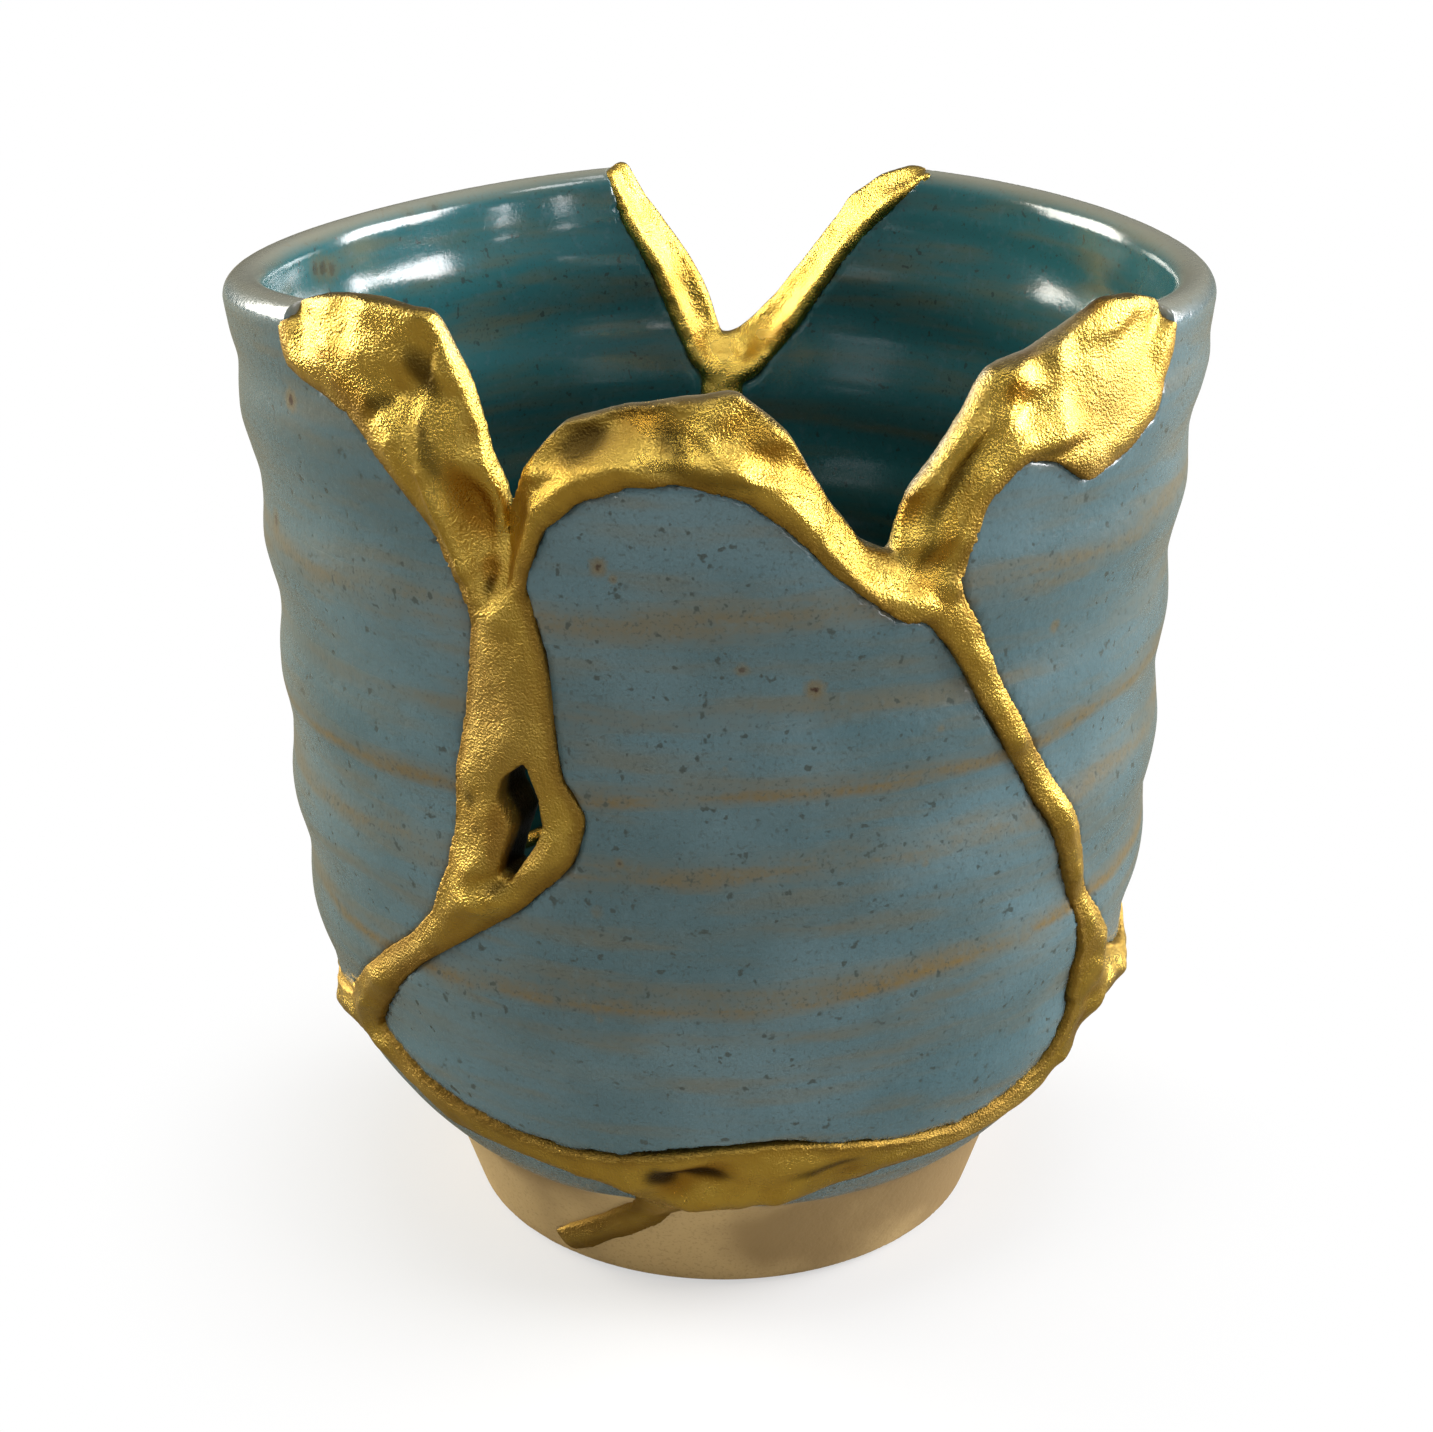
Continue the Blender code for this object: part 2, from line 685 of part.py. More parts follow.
def main():
    for obj in list(bpy.data.objects):
        bpy.data.objects.remove(obj, do_unlink=True)
    strips = [
        build_edge("gold_lacquer", FRONT_EDGE),
        build_edge("back_edge", BACK_EDGE, inside=True),
        build_seam("left_seam", LEFT_SEAM, taper=HOLED_CRACK_TAPER, sinks=SEAM_SINK),
        build_seam("right_seam", RIGHT_SEAM, sinks=SEAM_SINK),
        build_seam("front_ring", FRONT_RING),
        build_seam("back_ring", BACK_RING),
        build_seam("back_seam", BACK_SEAM, inside=True, sinks=SEAM_SINK),
        build_seam("foot_crack", FOOT_CRACK, depth=FOOT_CRACK_DEPTH),
    ]
    lacquers = [lacquer for lacquer, cutter in strips]
    cutters = [cutter for lacquer, cutter in strips]
    gold = lacquers[0]
    combine(gold, lacquers[1:], "UNION")
    combine(gold, [build_hole()], "DIFFERENCE")
    pot = build_pot()
    combine(pot, cutters, "DIFFERENCE")
    glaze = principled("glazed_stoneware", GLAZE_COLOR, GLAZE_ROUGHNESS, 0.0)
    for shard in split_shards(pot):
        finish(shard, glaze)
    finish(gold, principled("gold_lacquer", GOLD_COLOR, GOLD_ROUGHNESS, 1.0))


main()
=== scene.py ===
"""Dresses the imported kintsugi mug: thrown glazed shards, hand-laid gold lacquer, and a small white studio.

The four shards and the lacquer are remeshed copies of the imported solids. A shard's skin is drawn on to the
potter's profile, so its wall is truly round. The lacquer is modelled as a relief over the wall.

Angles round the pot are in degrees: 0 faces the front (-Y) and 90 the right (+X). Sizes are in metres.
"""

import math

import bmesh
import bpy
import numpy as np
from bpy.props import FloatProperty, FloatVectorProperty, IntProperty, PointerProperty
from mathutils import Matrix, Vector, noise
from mathutils.geometry import interpolate_bezier
from mathutils.kdtree import KDTree


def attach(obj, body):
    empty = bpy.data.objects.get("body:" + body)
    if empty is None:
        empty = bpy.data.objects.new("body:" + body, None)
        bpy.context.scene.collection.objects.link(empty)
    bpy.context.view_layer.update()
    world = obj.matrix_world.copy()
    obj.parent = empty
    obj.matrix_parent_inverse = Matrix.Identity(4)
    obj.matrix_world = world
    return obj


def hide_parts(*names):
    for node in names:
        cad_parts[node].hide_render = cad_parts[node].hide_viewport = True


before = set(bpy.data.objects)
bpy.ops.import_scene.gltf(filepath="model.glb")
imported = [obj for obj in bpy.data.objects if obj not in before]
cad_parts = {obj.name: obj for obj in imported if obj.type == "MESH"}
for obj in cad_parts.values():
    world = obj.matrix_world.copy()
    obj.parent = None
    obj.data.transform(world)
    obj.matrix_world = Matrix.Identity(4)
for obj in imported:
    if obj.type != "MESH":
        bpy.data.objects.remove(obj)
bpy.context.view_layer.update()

bl_info = {
    "name": "Kintsugi Mug",
    "version": (1, 0, 0),
    "blender": (4, 5, 0),
    "location": "View3D > Sidebar > Kintsugi",
    "description": "Glazed shards and gold lacquer for a mended stoneware mug",
    "category": "Object",
}

SHARDS = ("base_shard", "left_shard", "front_shard", "right_shard")
GOLD = "gold_lacquer"

# A remeshed solid has at least this many faces
FEWEST_FACES = 1000

# How far the wall has swelled from the foot's top radius to the rim's, at shares of the height between them
WALL_SWELL = (
    (0.031, 0.16), (0.075, 0.354), (0.138, 0.549), (0.25, 0.708),
    (0.438, 0.8), (0.65, 0.826), (0.85, 0.917), (1.0, 1.0),
)

# Strength of the iron bands against the height where they cross the front of the pot, in millimetres
IRON_BANDS = (
    (24.0, 0.02), (28.2, 0.05), (29.4, 0.28), (30.8, 0.04), (32.6, 0.06), (33.8, 0.34),
    (34.8, 0.08), (35.9, 0.22), (36.6, 1.0), (37.5, 0.5), (38.4, 0.3), (39.8, 0.04),
    (42.0, 0.05), (43.2, 0.3), (44.4, 0.05), (46.6, 0.1), (47.8, 0.62), (49.2, 0.4),
    (50.6, 0.06), (53.4, 0.06), (54.3, 0.95), (55.2, 0.45), (56.6, 0.05), (59.4, 0.05),
    (61.0, 0.36), (62.6, 0.06), (66.8, 0.05), (68.2, 0.42), (69.6, 0.55), (71.4, 0.05),
)

# Iron spots in the glaze: angle, height and radius in millimetres, strength, and depth in from the outside
IRON_SPOTS = (
    (-12.9, 73.6, 0.55, 1.0, 0.0), (9.9, 63.8, 0.65, 1.0, 0.0), (2.0, 65.7, 0.45, 0.6, 0.0),
    (-11.3, 72.7, 0.28, 0.8, 0.0), (0.1, 57.8, 0.25, 0.7, 0.0), (24.5, 59.5, 0.28, 0.7, 0.0),
    (-11.7, 49.4, 0.3, 0.7, 0.0), (23.2, 48.2, 0.28, 0.6, 0.0), (-14.8, 35.2, 0.3, 0.6, 0.0),
    (40.4, 65.5, 0.45, 0.9, 0.0), (-14.3, 45.2, 0.45, 0.5, 0.0), (-53.0, 82.4, 0.7, 1.0, 0.0),
    (-65.5, 70.3, 0.8, 0.7, 0.0), (-106.1, 85.9, 1.0, 0.45, 3.6), (-108.3, 85.6, 1.1, 0.5, 3.6),
    (-110.6, 85.3, 1.0, 0.45, 3.6), (-129.5, 88.2, 0.8, 0.3, 3.4), (-134.2, 88.6, 0.7, 0.3, 3.4),
)

# Dents (below zero) and blobs (above) that a thumb or a brush left in the lacquer:
# angle, height, half length, half width, turn of the length from level, and depth, in degrees and mm
DABS = (
    (-36.2, 84.2, 0.9, 0.8, 0, -0.45), (-37.6, 83.2, 0.6, 0.5, 0, -0.35),
    (-35.0, 85.2, 0.5, 0.5, 0, -0.3), (-31.6, 87.8, 2.6, 1.5, -60, -0.55),
    (-41.5, 87.5, 4.0, 1.6, 15, 0.3), (-33.2, 80.0, 3.4, 1.3, -55, -0.35),
    (-27.2, 76.8, 2.8, 1.1, -75, -0.55), (-13.4, 83.4, 3.0, 1.5, 20, -0.65),
    (-16.5, 80.0, 3.4, 1.2, 28, 0.3), (-19.6, 77.0, 2.6, 1.2, 65, -0.25),
    (-8.6, 84.6, 2.2, 1.2, 10, 0.35), (-4.9, 82.4, 1.2, 2.4, -15, -0.85),
    (-0.3, 85.0, 2.2, 1.4, 0, 0.55), (4.0, 82.4, 2.6, 1.4, -35, -0.45),
    (8.2, 78.4, 2.4, 1.2, -45, 0.25), (12.0, 76.6, 3.4, 1.0, -50, 0.45),
    (16.8, 73.4, 3.0, 0.9, -35, 0.3), (31.3, 86.7, 1.9, 1.5, 40, 0.65),
    (28.0, 82.0, 2.4, 0.8, 62, -0.45), (33.5, 84.0, 1.6, 1.4, 50, -0.45),
    (45.1, 84.6, 5.2, 3.0, 25, 0.75), (41.8, 79.0, 1.8, 2.2, 0, 0.35),
    (50.5, 84.0, 2.0, 3.6, 0, -0.25), (37.6, 80.2, 3.6, 0.8, 5, -0.35),
    (23.4, 72.6, 1.4, 1.0, 0, -0.55), (25.6, 78.4, 5.0, 1.2, 62, -0.45),
    (21.4, 71.0, 1.0, 0.8, 0, 0.35), (25.0, 71.0, 1.0, 0.8, 0, 0.35),
    (-29.0, 44.3, 1.1, 0.9, -20, 0.55), (-26.8, 45.0, 0.9, 0.8, -20, 0.5),
    (-27.2, 46.6, 1.4, 0.6, 20, -0.45), (-22.1, 48.1, 2.0, 1.2, 35, 0.45),
    (-18.6, 50.5, 1.0, 3.4, -8, 0.45), (-48.0, 33.0, 1.6, 1.4, 0, 0.35),
    (34.7, 57.0, 1.0, 1.4, 0, 0.25), (43.0, 50.1, 1.0, 1.6, 0, 0.3),
    (47.7, 41.7, 1.0, 1.4, 0, 0.25), (57.5, 33.5, 1.6, 2.0, 0, 0.35),
    (56.0, 28.0, 1.2, 1.2, 0, -0.4), (-6.5, 19.0, 3.4, 1.0, 3, -0.6),
    (-2.0, 16.4, 4.6, 1.2, 4, 0.6), (8.0, 17.4, 3.0, 1.1, 6, 0.55),
    (14.0, 19.4, 3.6, 0.7, 4, -0.3),
)

# Sharp ridges in the lacquer: (angle, height) points in degrees and millimetres, half width and height
RIDGE_LINES = (
    (((-29.6, 88.9), (-31.6, 84.0), (-30.8, 78.5), (-28.2, 72.5)), 0.8, 0.4),
    (((-2.4, 84.2), (-0.1, 82.3), (3.2, 80.5), (7.4, 80.1), (10.4, 79.1)), 0.5, 0.4),
    (((10.4, 79.1), (10.7, 74.9), (16.1, 70.7)), 0.45, 0.3),
    (((-19.6, 80.5), (-14.6, 81.4), (-10.0, 81.6), (-6.0, 80.4)), 0.5, 0.3),
    (((24.4, 74.6), (27.8, 79.8), (30.2, 84.0)), 0.5, 0.35),
    (((-31.8, 79.6), (-30.0, 76.0), (-28.4, 72.8), (-27.0, 70.0)), 0.35, 0.35),
)

# The ends of the lacquer at the rim: angle, height in millimetres, and the way round to the glaze
LACQUER_ENDS = (
    (-51.0, 89.4, -1),
    (55.2, 89.0, 1),
    (149.5, 90.4, -1),
    (195.5, 90.4, 1),
)

# Tints of the lacquer, as the dents but with a strength last
TINTS = {
    "matte": (
        (-27.0, 61.0, 7.0, 10.0, 0, 1.0), (-24.5, 50.0, 5.0, 4.5, 0, 0.8),
        (-44.0, 36.5, 11.0, 5.0, 0, 1.0), (-13.4, 83.4, 2.6, 1.6, 0, 0.8),
        (41.8, 78.5, 3.0, 2.5, 0, 1.0), (-26.0, 8.0, 9.0, 6.0, 0, 1.0),
        (-35.0, 22.0, 16.0, 3.0, 0, 1.0), (42.0, 19.0, 10.0, 2.5, 0, 1.0),
        (45.0, 83.5, 5.5, 4.5, 20, 0.8),
    ),
    # Painted shade: amber patches where the lacquer dips into hollows
    "amber": (
        (-27.4, 77.6, 4.2, 1.5, -70, 1.0), (-25.4, 72.6, 1.6, 1.0, 90, 1.0),
        (-25.8, 51.0, 4.0, 1.0, 80, 0.8), (23.5, 73.4, 2.4, 0.8, 60, 0.6),
        (31.5, 85.8, 1.6, 1.2, 60, 0.9), (4.4, 83.2, 2.8, 1.8, -40, 0.7),
        (-40.5, 84.5, 3.0, 1.6, -30, 0.6), (-44.0, 87.4, 4.0, 0.8, 10, 0.6),
    ),
    # Painted shade: dark patches where the lacquer lies in shade
    "dark": (
        (-8.6, 18.8, 1.7, 1.4, 0, 1.0), (-3.6, 19.4, 3.2, 0.8, 2, 1.0),
        (13.6, 19.6, 3.4, 0.5, 4, 0.8), (-14.4, 83.0, 2.8, 1.5, 32, 0.85),
        (-5.2, 83.3, 2.4, 1.2, -62, 0.75), (-1.6, 80.8, 4.6, 0.7, -10, 0.6),
        (-32.0, 87.0, 2.6, 1.2, -55, 0.85), (-31.0, 81.5, 3.2, 0.7, -70, 0.65),
        (-37.0, 84.2, 1.4, 0.8, 10, 0.75), (25.4, 79.4, 5.0, 0.8, 62, 0.8),
        (38.4, 88.6, 3.6, 0.6, 40, 0.6), (37.0, 80.6, 3.6, 0.5, 8, 0.5),
        (22.4, 73.8, 1.4, 0.7, 60, 0.7), (-25.4, 71.4, 1.2, 0.5, 80, 0.85),
        (-29.2, 53.4, 0.6, 0.8, 0, 0.6), (-28.6, 50.9, 0.5, 0.5, 0, 0.5),
        (-26.4, 46.0, 1.6, 0.5, 25, 0.9),
    ),
}

# Half length and half width of an end, in millimetres
END_SIZE = (2.2, 2.6)

# The hole in the left seam: angle, height, half length, half width and turn
SEAM_HOLE = (-23.0, 51.5, 6.0, 9.0, 0)

# How far round from the front the broken edges reach, in degrees, and the height that they start from
NOTCHES_END = 75
NOTCHES_START = 0.066

# How softly the bare line along them ends
BARE_FADE = 0.0003

# How much higher a place looks in the photo, which looks down a little, for its depth in the wall
SUNK_LOOKS_HIGHER = 0.42

# The iron bands rise on one side of the pot, dip twice round it and wander. Their heights are shares of the
# scale, and the streaks in them are squeezed upwards
BAND_RISE = 0.0055
BAND_RISE_TURN = math.radians(20.0)
BAND_DIP = 0.0012
BAND_WANDER = 0.003
BAND_SCALE = 0.09
STREAK_SCALES = (90.0, 90.0, 620.0)

# A shard's skin is 0 outside and 1 inside, and under this it counts as glaze that the lacquer may border on,
# unless it lies nearer to the axis than the second value
OUTER_SKIN = 0.3
UNDERSIDE_RADIUS = 0.02

# Steps along each stretch of the pot's half section
OUTSIDE_STEPS = 400
LIP_STEPS = 26
INSIDE_STEPS = 300
HEEL_STEPS = 60

# Unevenness of the thrown skin: how the noise is squeezed along each axis, and the size of its lumps
SLOW_SWELLS = (np.array([1.0, 1.0, 1.9]), 0.021)
QUICK_RIPPLES = (np.array([0.35, 0.35, 2.6]), 0.006)

# How far apart in the noise two seeds lie
SEED_SHIFT = (7.3, 3.1, 5.7)

# Lights: name, degrees round and above the mug, then distance, width and height in metres, and watts
LIGHTS = (
    ("right softbox", 102, 18, 1.2, 0.8, 0.6, 28.0),
    ("left softbox", -116, 18, 1.2, 0.7, 0.6, 20.0),
    ("overhead softbox", 20, 78, 1.3, 0.6, 0.45, 4.0),
    ("left ceiling panel", -50, 48, 1.2, 0.32, 0.2, 1.5),
    ("right ceiling panel", 55, 52, 1.2, 0.3, 0.22, 1.8),
    ("right far window", 80, -3, 1.2, 0.1, 0.08, 0.45),
    ("right window", 63, 3, 1.2, 0.07, 0.16, 0.7),
    ("right near window", 45, 5, 1.2, 0.08, 0.12, 0.3),
    ("front window", 17, 5, 1.2, 0.07, 0.1, 0.25),
    ("left far window", -68, -5, 1.2, 0.14, 0.07, 0.55),
    ("left window", -44, 3, 1.2, 0.05, 0.08, 0.3),
    ("upper left window", -24, 38, 1.2, 0.14, 0.1, 0.55),
    ("upper front window", 6, 26, 1.2, 0.1, 0.08, 0.35),
)

# The height that the lights aim at
LIT_HEIGHT = 0.045

# Colours of light: plain, from the right of the mug, and from its left
WHITE = (1.0, 1.0, 1.0)
COOL = (1.0, 0.99, 1.0)
WARM = (1.0, 0.96, 0.86)


def size_setting(name, description, default):
    """A length that a user can set, in metres."""
    return FloatProperty(name=name, description=description, default=default, unit="LENGTH")


def angle_setting(name, description, degrees):
    """An angle that a user can set."""
    return FloatProperty(name=name, description=description, default=math.radians(degrees), unit="ROTATION")


def color_setting(name, description, default):
    """A colour that a user can set."""
    return FloatVectorProperty(
        name=name, description=description, default=default, subtype="COLOR", min=0, max=1
    )


class ThrownForm(bpy.types.PropertyGroup):
    """Sizes of the thrown pot, as the solids have them, and how finely its shards are meshed."""

    rim_height: size_setting("Rim height", "Height of the rim", 0.09)
    rim_radius: size_setting("Rim radius", "Outer radius at the rim", 0.0423)
    foot_height: size_setting("Foot height", "Height of the foot", 0.01)
    foot_radius: size_setting("Foot radius", "Outer radius on the ground", 0.0244)
    foot_top_radius: size_setting("Foot top radius", "Outer radius where the wall leaves the foot", 0.0279)
    foot_ring_width: size_setting("Foot ring width", "Width of the ring that the mug stands on", 0.005)
    foot_recess: size_setting("Foot recess", "Depth of the hollow under the foot", 0.0045)
    foot_bevel: size_setting("Foot bevel", "Bevel of the foot ring", 0.0006)
    floor_thickness: size_setting("Floor thickness", "Thickness of the mug's floor", 0.005)
    floor_flat_radius: size_setting("Floor flat radius", "Radius of the flat of the floor", 0.01)
    wall: size_setting("Wall", "Thickness of the wall", 0.0036)
    heel_wall: size_setting("Heel wall", "Thickness of the wall at the heel", 0.0046)
    heel_height: size_setting("Heel height", "Height of the heel", 0.019)
    rim_saddle: size_setting("Rim saddle", "How far the rim rises and falls", 0.0013)
    saddle_turn: angle_setting("Saddle turn", "Turn of the saddle round the pot", 21.7)
    saddle_start: FloatProperty(
        name="Saddle start", description="Share of the height where it begins", default=0.65, subtype="FACTOR"
    )
    ridge_depth: size_setting("Ridge depth", "Depth of the throwing ridges", 0.0003)
    ridge_pitch: size_setting("Ridge pitch", "Height between throwing ridges", 0.0115)
    unevenness: size_setting("Unevenness", "How far the hand-thrown skin wanders", 0.00016)
    grid: size_setting("Grid", "Size of a shard's faces", 0.0005)
    growth: size_setting("Growth", "How far a shard grows to meet the lacquer", 0.0004)
    reach: size_setting("Reach", "How near the profile a point is drawn on to it", 0.00085)


class GlazeFinish(bpy.types.PropertyGroup):
    """Colours of the glazed stoneware."""

    blue: color_setting("Blue", "The glaze outside", (0.052, 0.112, 0.132))
    pale: color_setting("Pale blue", "Thicker glaze", (0.085, 0.158, 0.184))
    teal: color_setting("Teal", "The glaze inside", (0.014, 0.11, 0.12))
    iron: color_setting("Iron", "Bands where iron shows", (0.15, 0.096, 0.022))
    speck: color_setting("Speck", "Fine dark specks", (0.03, 0.045, 0.042))
    rust: color_setting("Rust", "Iron spots", (0.034, 0.014, 0.009))
    # Painted shade: the colour that the inside darkens to towards the bottom
    inside_shade_color: color_setting("Depth", "The glaze low inside", (0.0008, 0.03, 0.026))
    lip: color_setting("Lip", "Thin glaze on the lip", (0.27, 0.255, 0.185))
    clay: color_setting("Clay", "The bare foot", (0.4, 0.275, 0.11))
    burnt: color_setting("Burnt clay", "Darker clay", (0.235, 0.15, 0.052))
    glaze_line: size_setting("Glaze line", "Height where the glaze ends", 0.0118)
    glaze_wander: size_setting("Glaze wander", "How unevenly the glaze ends", 0.006)
    deep_start: size_setting("Deep start", "Height under which the inside is darkest", 0.04)
    deep_end: size_setting("Deep end", "Height where the inside begins to darken", 0.082)


class GoldFinish(bpy.types.PropertyGroup):
    """Sizes and colours of the gold lacquer."""

    grid: size_setting("Grid", "Size of the lacquer's faces", 0.00031)
    swell: size_setting("Swell", "How far the lacquer swells", 0.00029)
    crumple: size_setting("Crumple", "Height of the folds on wide lacquer", 0.00088)
    ripple: size_setting("Ripple", "Height of the small ripples", 0.00007)
    end_reach: size_setting("End reach", "How far the ends at the rim are drawn out", 0.0003)
    fold_size: size_setting("Fold size", "Distance between folds", 0.0052)
    lump_size: size_setting("Lump size", "Distance between lumps", 0.0024)
    ripple_size: size_setting("Ripple size", "Distance between ripples", 0.0009)
    seam_width: size_setting("Seam width", "Distance from the glaze where folds begin", 0.0006)
    coat_width: size_setting("Coat width", "Distance from the glaze where folds are full", 0.0032)
    coat_depth: size_setting("Coat depth", "Depth in the wall of the lacquer seen from outside", 0.003)
    bare_start: size_setting("Bare start", "Depth in the wall where the bare edge starts", 0.0029)
    bare_end: size_setting("Bare end", "Depth in the wall where the bare edge ends", 0.004)
    rounds: IntProperty(name="Rounds", description="Rounds of smoothing", default=14, min=0, max=100)
    gold: color_setting("Gold", "Burnished gold", (0.73, 0.505, 0.098))
    amber: color_setting("Amber", "Gold in the hollows", (0.37, 0.165, 0.012))
    # Painted shade in the hollows and fold valleys, and a random darker tone in the clouds
    dust: color_setting("Gold dust", "Matte gold dust", (0.5, 0.33, 0.085))
    rim: color_setting("Rim", "Dark gold at the glaze", (0.3, 0.175, 0.035))
    # Painted shade: the colour of lacquer in shade
    painted_shade: color_setting("Umber", "Shaded lacquer", (0.04, 0.022, 0.006))
    bare: color_setting("Bare edge", "Ungilded inner edge", (0.27, 0.245, 0.19))


class StudioLook(bpy.types.PropertyGroup):
    """The camera and the light."""

    distance: size_setting("Camera distance", "In front of the mug", 0.1908)
    height: size_setting("Camera height", "Above the floor", 0.1232)
    sideways: size_setting("Camera sideways", "Right of the axis", -0.0005)
    tilt: angle_setting("Camera tilt", "Down from level", 22.05)
    roll: angle_setting("Camera roll", "Turn of the view", 0.32)
    lens: FloatProperty(name="Lens", description="Focal length", default=55.27, unit="CAMERA")
    floor_size: size_setting("Floor size", "Width of the floor", 6.0)
    shadow_start: size_setting("Shadow start", "Where the floor begins to fade", 0.026)
    shadow_reach: size_setting("Shadow reach", "Where the floor has faded to white", 0.065)
    floor_gloss: color_setting("Floor in gloss", "What gloss sees of the floor", (0.2, 0.175, 0.12))
    floor_tone: color_setting("Floor tone", "Colour of the floor", (0.72, 0.72, 0.72))


def smooth_step(low, high, value):
    """0 at or under low, 1 at or over high, and an S-shaped rise between."""
    t = np.clip((value - low) / (high - low), 0.0, 1.0)
    return t * t * (3 - 2 * t)


class Wall:
    """The thrown wall: outline, thickness, ridges and saddle, for arrays of angles and heights."""

    def __init__(self, form):
        self.form = form
        knots = [(0.0, form.foot_radius), (form.foot_height, form.foot_top_radius)]
        for share, swell in WALL_SWELL:
            height = form.foot_height + share * (form.rim_height - form.foot_height)
            knots.append((height, form.foot_top_radius + swell * (form.rim_radius - form.foot_top_radius)))
        self.heights, self.radii = np.array(knots).T
        low = np.maximum(np.arange(len(knots)) - 1, 0)
        high = np.minimum(np.arange(len(knots)) + 1, len(knots) - 1)
        self.slopes = (self.radii[high] - self.radii[low]) / (self.heights[high] - self.heights[low])

    def radius(self, height):
        """Outer radius, without ridges: a cubic through the outline's points."""
        height = np.clip(height, 0.0, self.form.rim_height)
        index = np.clip(np.searchsorted(self.heights, height) - 1, 0, len(self.heights) - 2)
        span = self.heights[index + 1] - self.heights[index]
        t = (height - self.heights[index]) / span
        return (
            (2 * t**3 - 3 * t**2 + 1) * self.radii[index]
            + (t**3 - 2 * t**2 + t) * span * self.slopes[index]
            + (3 * t**2 - 2 * t**3) * self.radii[index + 1]
            + (t**3 - t**2) * span * self.slopes[index + 1]
        )

    def inward(self, height):
        """Unit normal into the wall, as its radial and upward parts."""
        step = 0.003
        slope = (self.radius(height + step) - self.radius(height - step)) / (2 * step)
        length = np.hypot(1.0, slope)
        return -1.0 / length, slope / length

    def thickness(self, height):
        """The wall thickens from the belly down to the heel."""
        form = self.form
        thin = smooth_step(form.heel_height, form.heel_height * 2, height)
        return form.heel_wall + (form.wall - form.heel_wall) * thin

    def ridge(self, angle, height):
        """Throwing ridges: a spiral groove that fades towards the foot and the lip."""
        form = self.form
        turns = height / form.ridge_pitch - angle / 360.0
        fade = smooth_step(form.heel_height, form.heel_height * 1.5, height)
        lip = form.rim_height - form.wall
        fade = fade * (1 - smooth_step(lip - form.wall, lip, height))
        return form.ridge_depth * fade * np.cos(2 * np.pi * turns)

    def lift(self, angle, height):
        """The rim is a shallow saddle."""
        form = self.form
        fade = smooth_step(form.rim_height * form.saddle_start, form.rim_height, height)
        return form.rim_saddle * fade * np.cos(np.radians(2 * angle) + form.saddle_turn)

    def profile(self):
        """The half section in fine steps as (radius, height, skin): skin is 0 outside and 1 inside."""
        form = self.form
        ring_inside = form.foot_radius - form.foot_ring_width
        corners = [
            (0.0, form.foot_recess, 0.0),
            (ring_inside - form.foot_bevel * 2, form.foot_recess, 0.0),
            (ring_inside, 0.0, 0.0),
            (form.foot_radius - form.foot_bevel, 0.0, 0.0),
        ]
        top = form.rim_height - form.wall / 2
        for height in np.linspace(form.foot_bevel, top, OUTSIDE_STEPS):
            corners.append((float(self.radius(height)), height, 0.0))
        centre = float(self.radius(top)) - form.wall / 2
        for turn in np.linspace(0.0, np.pi, LIP_STEPS)[1:-1]:
            skin = turn / np.pi
            across = centre + form.wall / 2 * math.cos(turn)
            corners.append((across, top + form.wall / 2 * math.sin(turn), skin))
        for height in np.linspace(top, form.heel_height, INSIDE_STEPS):
            across, up = self.inward(height)
            depth = self.thickness(height)
            corners.append((float(self.radius(height) + across * depth), float(height + up * depth), 1.0))
        heel = corners[-1]
        floor = form.foot_recess + form.floor_thickness
        across, up = self.inward(form.heel_height)
        reach = (heel[1] - floor) / 2
        start = Vector((heel[0], heel[1], 0.0))
        end = Vector((form.floor_flat_radius, floor, 0.0))
        down_wall = start + Vector((-up, across, 0.0)) * reach
        curve = interpolate_bezier(start, down_wall, end + Vector((reach, 0.0, 0.0)), end, HEEL_STEPS)
        corners += [(point.x, point.y, 1.0) for point in curve[1:]]
        corners.append((0.0, floor, 1.0))
        return np.array(corners)


def read_array(items, name, width, kind=np.float32):
    """One attribute of a mesh's vertices or edges as an array."""
    flat = np.empty(len(items) * width, dtype=kind)
    items.foreach_get(name, flat)
    return flat.reshape(-1, width)


def read_points(mesh):
    """The vertices' places."""
    return read_array(mesh.vertices, "co", 3).astype(np.float64)


def write_points(mesh, points):
    """Moves the vertices to these places."""
    mesh.vertices.foreach_set("co", points.astype(np.float32).ravel())
    mesh.update()


def read_normals(mesh):
    """The vertices' normals."""
    return read_array(mesh.vertex_normals, "vector", 3).astype(np.float64)


def tree_of(points):
    """The points, sorted so that the nearest one is found fast."""
    tree = KDTree(len(points))
    for index, point in enumerate(points):
        tree.insert(point, index)
    tree.balance()
    return tree


def add_object(name, data):
    """A new object of the scene."""
    made = bpy.data.objects.new(name, data)
    bpy.context.scene.collection.objects.link(made)
    return made


def write_mask(mesh, name, values):
    """Keeps one number for each vertex, for the material to read."""
    layer = mesh.attributes.new(name, "FLOAT", "POINT")
    layer.data.foreach_set("value", values.astype(np.float32))


def relaxed(values, edges, share, rounds, held=None):
    """Values averaged with their neighbours', for so many rounds. Held ones keep theirs."""
    count = len(values)
    both = np.concatenate([edges, edges[:, ::-1]])
    if held is not None:
        both = both[~held[both[:, 0]] & ~held[both[:, 1]]]
    degree = np.bincount(both[:, 0], minlength=count)
    lone = degree == 0
    columns = values.reshape(count, -1).copy()
    for _ in range(rounds):
        for column in range(columns.shape[1]):
            total = np.bincount(both[:, 0], weights=columns[both[:, 1], column], minlength=count)
            mean = np.where(lone, columns[:, column], total / np.maximum(degree, 1))
            columns[:, column] += share * (mean - columns[:, column])
    return columns.reshape(values.shape)


def polar(points):
    """Angle in degrees, radius and height of each point."""
    angle = np.degrees(np.arctan2(points[:, 0], -points[:, 1]))
    return angle, np.hypot(points[:, 0], points[:, 1]), points[:, 2].copy()


